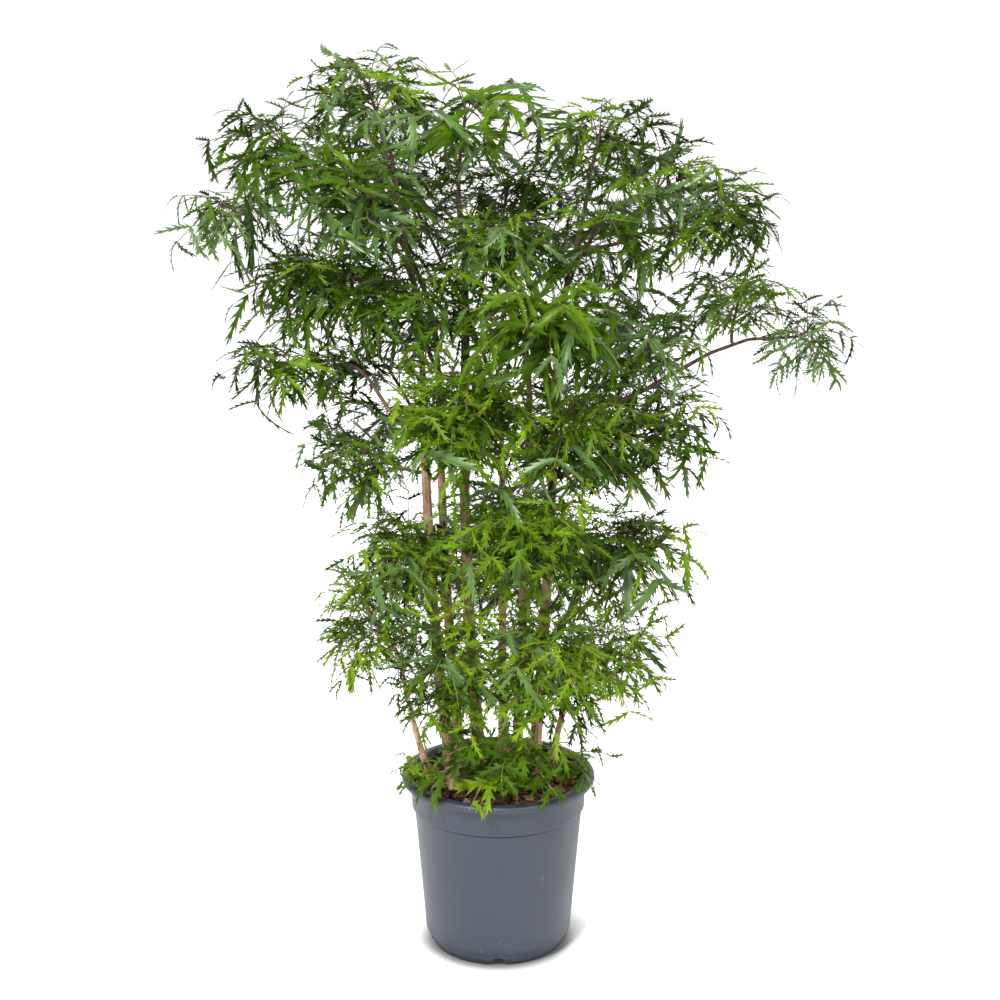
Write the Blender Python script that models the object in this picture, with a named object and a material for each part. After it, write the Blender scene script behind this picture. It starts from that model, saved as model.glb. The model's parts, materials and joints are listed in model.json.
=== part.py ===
"""A potted ming aralia: a bush of canes in a plastic nursery pot, with its leaves in separate masses.

Metres, +Z up, the origin at the centre of the pot's flat underside, the plant's front towards -Y.
Canes stand on the soil, boughs leave them, and each mass of leaves grows from the end or the side of a
limb. Every piece is its own closed solid, and touching pieces keep a gap of 0.3 mm.
"""

import itertools
import math
from collections import namedtuple

import bpy
import numpy as np

# Driving sizes of the pot
POT_HEIGHT = 0.225
RIM_RADIUS = 0.120
FOOT_RADIUS = 0.0808
COLLAR_RADIUS = 0.1078
WALL_THICKNESS = 0.0021
BASE_RADIUS = 0.050
FOOT_RING = 0.0035
FOOT_NOTCHES = 5
NOTCH_HEIGHT = 0.0115
NOTCH_TOP_WIDTH = 0.010
NOTCH_FOOT_WIDTH = 0.024
POT_SEGMENTS = 32
SOIL_TOP = 0.207

# Fits
GAP = 0.0003
LEAF_TO_LIMB = 0.0012
LEAF_TO_POT = 0.0025
LEAF_ROOM = 0.0008
FROND_TO_FROND = 0.005
POINT_SPACING = 0.004

# Limbs
CANE_SIDES = 8
CANE_STATIONS = (0.0, 0.025, 0.08, 0.3, 0.55, 0.8, 1.0)
ROOT_FLARE = {0.0: 1.7, 0.025: 1.22, 0.08: 1.04}
BOUGH_SIDES = 5
BOUGH_STATIONS = 7
FIRST_STRETCH = 1.6
LIMB_PULL = 0.38

# The stem of a mass: its sides and stations, its greatest radius, its taper, and how high it ends
STEM_SIDES = 3
STEM_STATIONS = 4
STEM_RADIUS = 0.0026
STEM_TAPER = 0.75
HUB_RISE = 0.2

# Fronds: every third one of the plant is built, each standing for its neighbours too
FROND_STEP = 3
GOLDEN_ANGLE = math.radians(137.5)
OUTWARD_FROND = 6
HIGHEST_RISE = 0.92
LOWEST_RISE = -0.92
HIGHEST_ROOT = 0.97
LOWEST_ROOT = 0.15
FROND_TRIES = 6
TRY_TURN = 0.35
FROND_ARCH = 0.7
FROND_PULL = 0.33
FROND_STATIONS = 7
FROND_RADIUS = 0.0017
FROND_TIP_RADIUS = 0.0009
LEAST_FROND = 0.030
EDGE_ROOM = 0.002
MARCH = 0.003

# The lobes of a frond, as shares of its length
STALK_SHARE = 0.22
LOBE_REACHES = (0.60, 0.66, 0.50)
LOBE_SHRINKS = (1.0, 0.8, 0.6)
LOBE_SWEEPS = (0.55, 1.2, 0.1)
LOBE_DROOP = 0.50

# A cane: where it stands on the soil, where it ends, its sideways bow halfway up, its radii
Cane = namedtuple("Cane", "name foot tip bow foot_radius tip_radius")
CANES = [
    Cane("cane_left", (-0.055, -0.02), (-0.088, -0.01, 0.7), (-0.008, -0.004), 0.008, 0.005),
    Cane("cane_left_twin", (-0.045, 0.014), (-0.072, 0.045, 0.72), (-0.006, 0.004), 0.007, 0.0042),
    Cane("cane_middle", (-0.022, 0.042), (-0.038, 0.02, 0.8), (-0.01, 0.006), 0.0085, 0.0048),
    Cane("cane_right", (0.042, -0.015), (0.07, -0.01, 0.76), (0.004, -0.004), 0.0075, 0.0046),
    Cane("cane_right_back", (0.022, 0.022), (0.038, 0.05, 0.69), (0.002, 0.004), 0.007, 0.0042),
    Cane("cane_back", (0.006, 0.074), (0.005, 0.13, 0.6), (0.0, 0.008), 0.0062, 0.0038),
    Cane("shoot_left", (-0.08, -0.012), (-0.12, -0.008, 0.372), (-0.004, 0.0), 0.0046, 0.0026),
    Cane("shoot_right", (0.064, 0.032), (0.098, 0.018, 0.36), (-0.002, 0.004), 0.0046, 0.0026),
]

# A bough: the limb it leaves, how far along that limb (1 is its tip), its end, its heading there, its radii
Bough = namedtuple("Bough", "name parent along end heading radius tip_radius")
BOUGHS = [
    Bough("bough_crest_left", "cane_left", 1.0, (-0.122, 0.012, 0.975), (-0.15, 0.05, 1), 0.0042, 0.0024),
    Bough("bough_left_arch", "bough_crest_left", 0.86, (-0.262, 0.0, 0.95), (-1, 0, -0.45), 0.0026, 0.0017),
    Bough("bough_low_left", "cane_left", 0.93, (-0.184, -0.024, 0.748), (-1, -0.1, 0.15), 0.0028, 0.0018),
    Bough("bough_shoulder_left", "cane_left_twin", 1.0, (-0.19, 0.004, 0.962), (-0.8, -0.2, 0.6), 0.0036, 0.0021),
    Bough("bough_crest_middle", "cane_middle", 1.0, (-0.044, -0.01, 0.98), (0.1, -0.2, 1), 0.004, 0.0023),
    Bough("bough_front_left", "cane_middle", 0.86, (-0.128, -0.092, 0.905), (-0.6, -0.6, 0.5), 0.003, 0.0019),
    Bough("bough_crest_right", "cane_right", 1.0, (0.106, 0.02, 0.952), (0.1, 0.1, 1), 0.004, 0.0024),
    Bough("bough_right_arch", "bough_crest_right", 0.62, (0.226, -0.004, 0.9), (1, 0, -0.35), 0.0027, 0.0017),
    Bough("bough_right_arm", "cane_right", 0.86, (0.346, 0.0, 0.772), (1, 0, -0.12), 0.0034, 0.0018),
    Bough("bough_front", "cane_right", 0.94, (0.054, -0.088, 0.792), (0, -1, 0.3), 0.0028, 0.0019),
    Bough("bough_centre_back", "cane_right_back", 1.0, (0.004, 0.072, 0.868), (-0.2, 0.05, 1), 0.0036, 0.0021),
    Bough("bough_back_left", "cane_back", 1.0, (-0.075, 0.152, 0.85), (-0.4, 0.1, 0.9), 0.0034, 0.0021),
    Bough("bough_back_right", "cane_back", 0.88, (0.086, 0.156, 0.8), (0.3, 0.1, 0.9), 0.0028, 0.0019),
]

# A mass: the limb it grows from and how far along, the ellipsoid it keeps to, and its fronds in life
Mass = namedtuple("Mass", "name parent along centre radii fronds")
MASSES = [
    Mass("crest_left", "bough_crest_left", 1.0, (-0.152, 0.03, 1.052), (0.082, 0.1, 0.066), 18),
    Mass("crest_middle", "bough_crest_middle", 1.0, (-0.036, -0.03, 1.03), (0.092, 0.1, 0.062), 18),
    Mass("crest_right", "bough_crest_right", 1.0, (0.12, 0.03, 1.0), (0.096, 0.1, 0.06), 18),
    Mass("shoulder_left", "bough_shoulder_left", 1.0, (-0.252, -0.02, 0.99), (0.096, 0.09, 0.072), 18),
    Mass("shoulder_right", "bough_right_arch", 0.45, (0.19, 0.02, 0.95), (0.085, 0.1, 0.066), 18),
    Mass("tip_left", "bough_left_arch", 1.0, (-0.314, 0.0, 0.9), (0.082, 0.07, 0.07), 15),
    Mass("edge_right", "bough_right_arch", 1.0, (0.256, -0.015, 0.914), (0.076, 0.08, 0.072), 15),
    Mass("front_left", "bough_front_left", 1.0, (-0.165, -0.13, 0.955), (0.088, 0.08, 0.07), 18),
    Mass("middle_left", "bough_crest_left", 0.45, (-0.213, 0.02, 0.823), (0.105, 0.1, 0.076), 18),
    Mass("low_left", "bough_low_left", 1.0, (-0.25, -0.03, 0.736), (0.09, 0.09, 0.052), 15),
    Mass("inner_left", "bough_front_left", 0.5, (-0.09, -0.08, 0.826), (0.092, 0.085, 0.08), 15),
    Mass("centre_high", "bough_centre_back", 1.0, (0.012, 0.08, 0.925), (0.095, 0.1, 0.075), 12),
    Mass("centre_upper", "bough_crest_middle", 0.45, (0.002, -0.06, 0.885), (0.085, 0.075, 0.058), 15),
    Mass("centre_front", "bough_front", 1.0, (0.05, -0.15, 0.808), (0.098, 0.09, 0.074), 18),
    Mass("inner_right", "bough_crest_right", 0.5, (0.118, -0.08, 0.904), (0.082, 0.085, 0.072), 18),
    Mass("middle_right", "bough_right_arm", 0.42, (0.165, 0.005, 0.762), (0.092, 0.1, 0.072), 15),
    Mass("arm_upper", "bough_right_arm", 0.76, (0.279, 0.0, 0.822), (0.074, 0.06, 0.044), 12),
    Mass("arm_tip", "bough_right_arm", 1.0, (0.366, 0.0, 0.766), (0.062, 0.06, 0.072), 15),
    Mass("low_right", "cane_right", 0.72, (0.199, 0.0, 0.66), (0.084, 0.1, 0.082), 18),
    Mass("lobe_left", "cane_left", 0.82, (-0.176, -0.02, 0.628), (0.07, 0.09, 0.064), 15),
    Mass("centre_left", "cane_left", 0.9, (-0.036, -0.105, 0.702), (0.092, 0.08, 0.088), 18),
    Mass("centre_right", "cane_right", 0.76, (0.09, -0.085, 0.672), (0.092, 0.085, 0.095), 18),
    Mass("waist_front", "cane_right", 0.55, (0.03, -0.095, 0.56), (0.1, 0.08, 0.085), 18),
    Mass("waist_left", "cane_left", 0.58, (-0.108, -0.03, 0.505), (0.08, 0.085, 0.085), 18),
    Mass("lower_left", "shoot_left", 1.0, (-0.16, 0.0, 0.415), (0.07, 0.09, 0.098), 18),
    Mass("lower_right", "cane_right_back", 0.58, (0.15, 0.01, 0.492), (0.105, 0.09, 0.082), 18),
    Mass("bottom_right", "shoot_right", 1.0, (0.138, -0.01, 0.375), (0.085, 0.09, 0.092), 15),
    Mass("base_left", "cane_left", 0.24, (-0.055, -0.085, 0.395), (0.08, 0.075, 0.105), 15),
    Mass("base_right", "cane_right", 0.3, (0.058, -0.085, 0.395), (0.085, 0.075, 0.1), 15),
    Mass("base_front", "cane_right", 0.08, (0.002, -0.085, 0.262), (0.092, 0.062, 0.068), 15),
    Mass("rim_left", "shoot_left", 0.22, (-0.094, -0.055, 0.24), (0.04, 0.045, 0.04), 12),
    Mass("rim_right", "cane_right", 0.07, (0.104, -0.042, 0.246), (0.042, 0.042, 0.038), 12),
    Mass("back_high_left", "bough_back_left", 1.0, (-0.12, 0.17, 0.93), (0.12, 0.1, 0.1), 15),
    Mass("back_high_right", "bough_back_right", 1.0, (0.13, 0.17, 0.88), (0.12, 0.1, 0.1), 15),
    Mass("back_middle_left", "cane_left_twin", 0.84, (-0.14, 0.14, 0.69), (0.115, 0.1, 0.1), 12),
    Mass("back_middle_right", "cane_back", 0.76, (0.12, 0.15, 0.64), (0.115, 0.095, 0.095), 15),
    Mass("back_low", "cane_back", 0.5, (0.0, 0.165, 0.45), (0.115, 0.085, 0.11), 12),
]

# Colour, roughness
FINISHES = {
    "pot_plastic": ((0.125, 0.150, 0.185), 0.42),
    "soil": ((0.070, 0.035, 0.020), 0.95),
    "cane_bark": ((0.330, 0.205, 0.120), 0.85),
    "bough_bark": ((0.090, 0.055, 0.040), 0.75),
    "leaf": ((0.040, 0.130, 0.022), 0.45),
}

UP = np.array((0.0, 0.0, 1.0))
Limb = namedtuple("Limb", "points radii")


def unit(vector):
    return vector / np.linalg.norm(vector)


# Meshes and objects


def material(name):
    """The Principled material of this finish, made once."""
    found = bpy.data.materials.get(name)
    if found:
        return found
    colour, roughness = FINISHES[name]
    made = bpy.data.materials.new(name)
    made.use_nodes = True
    shader = made.node_tree.nodes["Principled BSDF"]
    shader.inputs["Base Color"].default_value = (*colour, 1.0)
    shader.inputs["Roughness"].default_value = roughness
    return made


def new_object(name, points, faces, finish, collection=None):
    mesh = bpy.data.meshes.new(name)
    mesh.from_pydata([tuple(map(float, p)) for p in points], [], faces)
    mesh.materials.append(material(finish))
    made = bpy.data.objects.new(name, mesh)
    (collection or bpy.context.scene.collection).objects.link(made)
    return made


def shade_round(made, degrees=35):
    made.data.shade_smooth()
    made.data.set_sharp_from_angle(angle=math.radians(degrees))


def revolved(name, profile, finish):
    """A turned solid. Its profile leaves the axis underneath and comes back to it round the outside."""
    inner = profile[1:-1]
    points = [(0.0, 0.0, profile[0][1]), (0.0, 0.0, profile[-1][1])]
    for step in range(POT_SEGMENTS):
        turn = math.tau * step / POT_SEGMENTS
        points += [(r * math.cos(turn), r * math.sin(turn), z) for r, z in inner]
    faces = []
    for step in range(POT_SEGMENTS):
        here = 2 + step * len(inner)
        there = 2 + (step + 1) % POT_SEGMENTS * len(inner)
        faces.append((0, there, here))
        for k in range(len(inner) - 1):
            faces.append((here + k, there + k, there + k + 1, here + k + 1))
        faces.append((1, here + len(inner) - 1, there + len(inner) - 1))
    return new_object(name, points, faces, finish)


def frames_along(points):
    """A sideways and an upward direction at each point of a path, square to it and never twisting."""
    chord = unit(points[-1] - points[0])
    across = unit(np.cross(chord, UP if abs(chord[2]) < 0.9 else np.array((0.0, 1.0, 0.0))))
    last = len(points) - 1
    frames = []
    for k in range(last + 1):
        tangent = unit(points[min(k + 1, last)] - points[max(k - 1, 0)])
        side = unit(across - tangent * across.dot(tangent))
        frames.append((side, np.cross(side, tangent)))
    return frames


def tube(name, limb, sides, finish):
    """A closed tapering tube with flat ends."""
    corners = []
    for centre, radius, (side, up) in zip(limb.points, limb.radii, frames_along(limb.points)):
        for corner in range(sides):
            turn = math.tau * corner / sides
            corners.append(centre + (side * math.cos(turn) + up * math.sin(turn)) * radius)
    faces = [tuple(range(sides)), tuple(reversed(range(len(corners) - sides, len(corners))))]
    for k in range(len(limb.points) - 1):
        for corner in range(sides):
            a = k * sides + corner
            b = k * sides + (corner + 1) % sides
            faces.append((b, a, a + sides, b + sides))
    return new_object(name, corners, faces, finish)


# The pot and its soil

FLOOR_UNDERSIDE = NOTCH_HEIGHT + 0.0006
FLOOR_TOP = 0.0145
LIP_UNDERSIDE = POT_HEIGHT - 0.0090
SHOULDER = 0.1690
POT_WALL = [
    (FOOT_RADIUS, 0.0),
    (0.0890, 0.0125),
    (0.0915, 0.0240),
    (0.1035, SHOULDER),
    (0.1070, 0.1810),
    (COLLAR_RADIUS, 0.1870),
    (COLLAR_RADIUS, LIP_UNDERSIDE),
]
LIP = [
    (RIM_RADIUS, LIP_UNDERSIDE),
    (RIM_RADIUS, POT_HEIGHT - 0.0048),
    (RIM_RADIUS - 0.0018, POT_HEIGHT - 0.0018),
    (RIM_RADIUS - 0.0070, POT_HEIGHT),
    (RIM_RADIUS - 0.0112, POT_HEIGHT - 0.0010),
]


def wall_radius(profile, z):
    """The radius at height z of a profile that rises."""
    heights = [p[1] for p in profile]
    return float(np.interp(z, heights, [p[0] for p in profile]))


INNER_WALL = [
    (wall_radius(POT_WALL, FLOOR_TOP) - WALL_THICKNESS, FLOOR_TOP),
    *[(r - WALL_THICKNESS, z) for r, z in POT_WALL if z >= SHOULDER],
]


def build_pot():
    foot_inside = FOOT_RADIUS - FOOT_RING
    base = [(0.0, 0.0), (BASE_RADIUS, 0.0), (BASE_RADIUS + WALL_THICKNESS, FLOOR_UNDERSIDE)]
    foot = [(foot_inside, FLOOR_UNDERSIDE), (foot_inside, 0.0)]
    profile = [*base, *foot, *POT_WALL, *LIP, *reversed(INNER_WALL), (0.0, FLOOR_TOP)]
    pot = revolved("pot", profile, "pot_plastic")
    cut_foot_notches(pot)
    shade_round(pot)


def cut_foot_notches(pot):
    """Cuts the notches that let water out under the foot ring, the first one at the front."""
    cutters = bpy.data.collections.new("notch_cutters")
    bpy.context.scene.collection.children.link(cutters)
    below = -0.002
    outline = [
        (-NOTCH_FOOT_WIDTH / 2, below),
        (NOTCH_FOOT_WIDTH / 2, below),
        (NOTCH_TOP_WIDTH / 2, NOTCH_HEIGHT),
        (-NOTCH_TOP_WIDTH / 2, NOTCH_HEIGHT),
    ]
    reaches = (FOOT_RADIUS - 3 * FOOT_RING, FOOT_RADIUS + 2 * FOOT_RING)
    for k in range(FOOT_NOTCHES):
        turn = math.tau * k / FOOT_NOTCHES - math.pi / 2
        out = np.array((math.cos(turn), math.sin(turn), 0.0))
        across = np.array((-out[1], out[0], 0.0))
        corners = [out * reach + across * w + UP * z for reach in reaches for w, z in outline]
        sides = [(i, (i + 1) % 4, (i + 1) % 4 + 4, i + 4) for i in range(4)]
        faces = [(3, 2, 1, 0), (4, 5, 6, 7), *sides]
        cutter = new_object(f"notch_cutter_{k}", corners, faces, "pot_plastic", cutters)
        cutter.hide_render = True
        cutter.display_type = "WIRE"
    notch = pot.modifiers.new("notches", "BOOLEAN")
    notch.operation = "DIFFERENCE"
    notch.operand_type = "COLLECTION"
    notch.collection = cutters


def build_soil():
    rising = [(r - GAP, z) for r, z in INNER_WALL if z < SOIL_TOP]
    rising[0] = (rising[0][0], FLOOR_TOP + GAP)
    top_radius = wall_radius(INNER_WALL, SOIL_TOP) - GAP
    profile = [(0.0, FLOOR_TOP + GAP), *rising, (top_radius, SOIL_TOP), (0.0, SOIL_TOP)]
    revolved("soil", profile, "soil")


def clear_of_pot(points):
    """True for each point that is outside the pot and its soil, with some room."""
    reach = np.hypot(points[:, 0], points[:, 1])
    above = points[:, 2] > POT_HEIGHT + LEAF_TO_POT
    beside = reach > RIM_RADIUS + LEAF_TO_POT
    inside = reach < wall_radius(INNER_WALL, SOIL_TOP) - LEAF_TO_POT
    return above | beside | (inside & (points[:, 2] > SOIL_TOP + LEAF_TO_POT))


# Limbs: the canes and boughs

def cane_limb(cane):
    """A cane's centreline and radii, with its root flare, from the flat cut on the soil to its tip."""
    foot = np.array((*cane.foot, SOIL_TOP + GAP))
    tip = np.array(cane.tip)
    bow = np.array((*cane.bow, 0.0))
    points = [foot + (tip - foot) * t + bow * math.sin(math.pi * t) for t in CANE_STATIONS]
    points[1][:2] = foot[:2]
    taper = [cane.foot_radius + (cane.tip_radius - cane.foot_radius) * t for t in CANE_STATIONS]
    return Limb(points, [r * ROOT_FLARE.get(t, 1.0) for r, t in zip(taper, CANE_STATIONS)])


def place_on(limb, along):
    """The point, direction and radius at a share of the limb's length."""
    lengths = [np.linalg.norm(b - a) for a, b in zip(limb.points, limb.points[1:])]
    rest = along * sum(lengths)
    last = len(lengths) - 1
    for k, length in enumerate(lengths):
        if rest <= length or k == last:
            t = min(rest / length, 1.0)
            point = limb.points[k] + (limb.points[k + 1] - limb.points[k]) * t
            radius = limb.radii[k] + (limb.radii[k + 1] - limb.radii[k]) * t
            return point, unit(limb.points[k + 1] - limb.points[k]), radius
        rest -= length


def root_of(limb, along, towards):
    """Where a child starts, just clear of its parent, and its first direction: on at a tip, else sideways."""
    point, tangent, radius = place_on(limb, along)
    if along >= 1.0:
        return point + tangent * GAP, tangent
    way = np.array(towards) - point
    square = unit(way - tangent * way.dot(tangent))
    return point + square * (radius + GAP), square


def curve(start, first, end, last, stations, pull):
    """A cubic curve that leaves start along first and reaches end along last."""
    span = np.linalg.norm(end - start) * pull
    a = start + first * span
    b = end - last * span
    points = []
    for t in np.linspace(0, 1, stations):
        s = 1 - t
        points.append(start * s**3 + a * (3 * t * s**2) + b * (3 * t**2 * s) + end * t**3)
    return points


def tapering(points, radius, tip_radius):
    steps = len(points) - 1
    return Limb(points, [radius + (tip_radius - radius) * k / steps for k in range(steps + 1)])


def limb_from(parent, along, end, heading, radius, tip_radius, stations):
    """A tapering limb from its parent to end. A short straight stretch keeps its flat root clear."""
    start, first = root_of(parent, along, end)
    points = curve(start, first, np.array(end), unit(np.array(heading, float)), stations, LIMB_PULL)
    points.insert(1, start + first * (FIRST_STRETCH * radius))
    return tapering(points, radius, tip_radius)


def all_limbs():
    """The centreline and radii of every cane and bough, by name."""
    limbs = {cane.name: cane_limb(cane) for cane in CANES}
    for bough in BOUGHS:
        parent = limbs[bough.parent]
        sizes = (bough.radius, bough.tip_radius, BOUGH_STATIONS)
        limbs[bough.name] = limb_from(parent, bough.along, bough.end, bough.heading, *sizes)
    return limbs


def build_limbs(limbs):
    for cane in CANES:
        shade_round(tube(cane.name, limbs[cane.name], CANE_SIDES, "cane_bark"))
    for bough in BOUGHS:
        shade_round(tube(bough.name, limbs[bough.name], BOUGH_SIDES, "bough_bark"))


# Masses of leaves


def mass_stem(mass, limbs):
    """The stem that a mass grows on, from its limb to just above the middle of its space."""
    parent = limbs[mass.parent]
    centre = np.array(mass.centre)
    hub = centre + UP * (HUB_RISE * mass.radii[2])
    radius = min(STEM_RADIUS, place_on(parent, mass.along)[2])
    heading = unit(hub - parent.points[-1]) + UP * 0.5
    return limb_from(parent, mass.along, hub, heading, radius, STEM_TAPER * radius, STEM_STATIONS)


class Spaces:
    """The room of each mass: its ellipsoid, less the neighbours' shares, limbs, other stems and the pot."""

    def __init__(self, limbs, stems):
        self.centres = np.array([m.centre for m in MASSES])
        self.radii = np.array([m.radii for m in MASSES])
        owned = [(-1, limb) for limb in limbs.values()] + list(enumerate(stems))
        stretches = [
            (a, b, max(r, s), owner)
            for owner, limb in owned
            for a, b, r, s in zip(limb.points, limb.points[1:], limb.radii, limb.radii[1:])
        ]
        self.starts = np.array([s[0] for s in stretches])
        self.runs = np.array([s[1] - s[0] for s in stretches])
        self.thick = np.array([s[2] for s in stretches])
        self.owners = np.array([s[3] for s in stretches])

    def off_limbs(self, index, points, room):
        """True for each point that is clear of every limb and of the other masses' stems."""
        foreign = self.owners != index
        starts, runs = self.starts[foreign], self.runs[foreign]
        away = points[:, None, :] - starts
        along = np.clip((away * runs).sum(axis=2) / (runs**2).sum(axis=1), 0, 1)
        distance = np.linalg.norm(away - along[:, :, None] * runs, axis=2)
        return (distance > self.thick[foreign] + LEAF_TO_LIMB + room).all(axis=1)

    def in_share(self, index, points, room):
        """True for each point inside the mass's ellipsoid and nearer to it than to any other mass."""
        away = points[:, None, :] - self.centres
        depth = (np.linalg.norm(away / self.radii, axis=2) - 1) * self.radii.min(axis=1)
        own = depth[:, index].copy()
        depth[:, index] = np.inf
        return (own < 0) & (depth.min(axis=1) > own + 2 * room + GAP) & clear_of_pot(points)

    def allows(self, index, points, room):
        """True if mass number index may fill room round all the points."""
        return bool((self.in_share(index, points, room) & self.off_limbs(index, points, room)).all())

    def reach(self, index, start, way):
        """How far the mass's share goes from start along way."""
        limit = self.radii[index].max()
        steps = np.arange(MARCH, limit + MARCH, MARCH)
        free = self.in_share(index, start + way * steps[:, None], LEAF_ROOM)
        return limit if free.all() else float(steps[free.argmin()] - MARCH)


def between(points):
    """Points along a path, close enough together to test the room round it."""
    filled = []
    for a, b in zip(points, points[1:]):
        count = max(1, math.ceil(np.linalg.norm(b - a) / POINT_SPACING))
        filled += [a + (b - a) * k / count for k in range(count)]
    return np.array([*filled, points[-1]])


def apart(points, taken):
    """True if the points cross none of the fronds whose points are taken."""
    if not len(taken):
        return True
    return float(np.linalg.norm(points[:, None, :] - taken, axis=2).min()) > FROND_TO_FROND


def frond_path(number, index, mass, stem, spaces, taken):
    """The midrib of a frond, from inside the stem up, out and down to the edge of the space, or None."""
    centre = np.array(mass.centre)
    share = (number + 0.5) / mass.fronds
    rise = math.asin(HIGHEST_RISE + (LOWEST_RISE - HIGHEST_RISE) * share)
    root = place_on(stem, HIGHEST_ROOT + (LOWEST_ROOT - HIGHEST_ROOT) * share)[0]
    first_turn = math.atan2(centre[1], centre[0]) - OUTWARD_FROND * GOLDEN_ANGLE
    for attempt in range(FROND_TRIES):
        turn = first_turn + number * GOLDEN_ANGLE + attempt * TRY_TURN
        level = math.cos(rise)
        ball = np.array((math.cos(turn) * level, math.sin(turn) * level, math.sin(rise)))
        out = unit(ball * mass.radii)
        target = centre + out * (spaces.reach(index, centre, out) - EDGE_ROOM)
        way = target - root
        if np.linalg.norm(way) < LEAST_FROND:
            continue
        first = unit(unit(way) + UP * FROND_ARCH)
        path = curve(root, first, target, unit(out - UP * FROND_ARCH), FROND_STATIONS, FROND_PULL)
        free = spaces.allows(index, between(path[1:]), FROND_RADIUS)
        if free and apart(between(path[3:]), taken):
            return path
    return None


def frond_mesh(path, index, spaces, taken):
    """Corners and faces of a frond: a three-sided midrib with pointed lobes out of both its sides."""
    rib = Limb(path, [0.0] * len(path))
    shares = [0.0, *np.linspace(STALK_SHARE, 1.0, len(LOBE_REACHES) + 2)]
    midrib = [place_on(rib, share)[0] for share in shares]
    radii = np.linspace(FROND_RADIUS, FROND_TIP_RADIUS, len(midrib))
    length = sum(np.linalg.norm(b - a) for a, b in zip(path, path[1:]))
    corners = []
    sides = []
    for centre, radius, (side, up) in zip(midrib[:-1], radii, frames_along(midrib)):
        below = centre - up * (radius / 2)
        corners += [centre + up * radius, below - side * radius, below + side * radius]
        sides.append(side)
    faces = [(0, 1, 2)]
    last = len(midrib) - 2
    for k in range(last):
        a, b = 3 * k, 3 * (k + 1)
        faces.append((b + 1, b + 2, a + 2, a + 1))
        for hand, near, far in ((-1, (a, a + 1), (b, b + 1)), (1, (a + 2, a), (b + 2, b))):
            quad = (far[0], far[1], near[1], near[0])
            tip = None
            if k > 0:
                size = length * LOBE_REACHES[k - 1]
                tip = lobe_tip(corners, quad, sides[k] * hand, size, index, spaces, taken)
            if tip is None:
                faces.append(quad)
                continue
            corners.append(tip)
            faces += [(quad[i], quad[(i + 1) % 4], len(corners) - 1) for i in range(4)]
    corners.append(midrib[-1])
    faces += [(3 * last + (i + 1) % 3, 3 * last + i, len(corners) - 1) for i in (0, 1, 2)]
    return corners, faces


def lobe_tip(corners, quad, side, length, index, spaces, taken):
    """The tip of a lobe on this stretch of midrib, as long as its room lets it be, or None."""
    near, far = corners[quad[0]], corners[quad[3]]
    middle = (near + far) / 2
    run = unit(far - near)
    for shrink, sweep in itertools.product(LOBE_SHRINKS, LOBE_SWEEPS):
        tip = middle + unit(side + run * sweep - UP * LOBE_DROOP) * (length * shrink)
        lobe = np.vstack([between([start, tip])[1:] for start in (near, middle, far)])
        if spaces.allows(index, lobe, LEAF_ROOM) and apart(lobe, taken):
            return tip
    return None


def grow_fronds(index, mass, stem, spaces):
    """The fronds of one mass, each clear of the ones before it except where they leave the stem."""
    fronds = []
    taken = np.empty((0, 3))
    for number in range(0, mass.fronds, FROND_STEP):
        path = frond_path(number, index, mass, stem, spaces, taken)
        if path is None:
            continue
        corners, faces = frond_mesh(path, index, spaces, taken)
        fronds.append((corners, faces))
        rib = between(path[2:])
        tips = corners[3 * (len(LOBE_REACHES) + 2) : -1]
        roots = [rib[np.linalg.norm(rib - tip, axis=1).argmin()] for tip in tips]
        taken = np.vstack([taken, rib, *[between(lobe) for lobe in zip(roots, tips)]])
    return fronds


def fuse(name, stem, fronds):
    """One union of a stem and its fronds. Scraps and sealed hollows go, and a frond that spoils it too."""
    while True:
        main = tube(name, stem, STEM_SIDES, "leaf")
        group = bpy.data.collections.new(name + "_fronds")
        bpy.context.scene.collection.children.link(group)
        for corners, faces in fronds:
            new_object("frond", corners, faces, "leaf", group)
        union = main.modifiers.new("union", "BOOLEAN")
        union.operation = "UNION"
        union.operand_type = "COLLECTION"
        union.collection = group
        graph = bpy.context.evaluated_depsgraph_get()
        joined = bpy.data.meshes.new_from_object(main.evaluated_get(graph), depsgraph=graph)
        main.modifiers.clear()
        main.data = joined
        for frond in list(group.objects):
            bpy.data.objects.remove(frond)
        bpy.data.collections.remove(group)
        if keep_largest_body(joined) or not fronds:
            return main
        bpy.data.objects.remove(main)
        fronds = fronds[:-1]


def keep_largest_body(mesh):
    """Keeps only the body with the most faces. False if an edge of it hasn't two faces."""
    faces_at = {}
    for face in mesh.polygons:
        for edge in face.edge_keys:
            faces_at.setdefault(edge, []).append(face.index)
    if any(len(found) != 2 for found in faces_at.values()):
        return False
    unseen = set(range(len(mesh.polygons)))
    largest = []
    while unseen:
        body = [unseen.pop()]
        for face in body:
            for edge in mesh.polygons[face].edge_keys:
                for other in faces_at[edge]:
                    if other in unseen:
                        unseen.remove(other)
                        body.append(other)
        largest = max(largest, body, key=len)
    if len(largest) == len(mesh.polygons):
        return True
    kept = [tuple(mesh.polygons[face].vertices) for face in sorted(largest)]
    used = sorted({v for face in kept for v in face})
    number = {v: k for k, v in enumerate(used)}
    points = [tuple(mesh.vertices[v].co) for v in used]
    mesh.clear_geometry()
    mesh.from_pydata(points, [], [tuple(number[v] for v in face) for face in kept])
    return True


def build_masses(limbs):
    stems = [mass_stem(mass, limbs) for mass in MASSES]
    spaces = Spaces(limbs, stems)
    for index, (mass, stem) in enumerate(zip(MASSES, stems)):
        fuse("foliage_" + mass.name, stem, grow_fronds(index, mass, stem, spaces))


def main():
    for found in list(bpy.data.objects):
        bpy.data.objects.remove(found)
    build_pot()
    build_soil()
    limbs = all_limbs()
    build_limbs(limbs)
    build_masses(limbs)


main()
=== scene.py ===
import json
import math
import random
from collections import namedtuple

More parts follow.
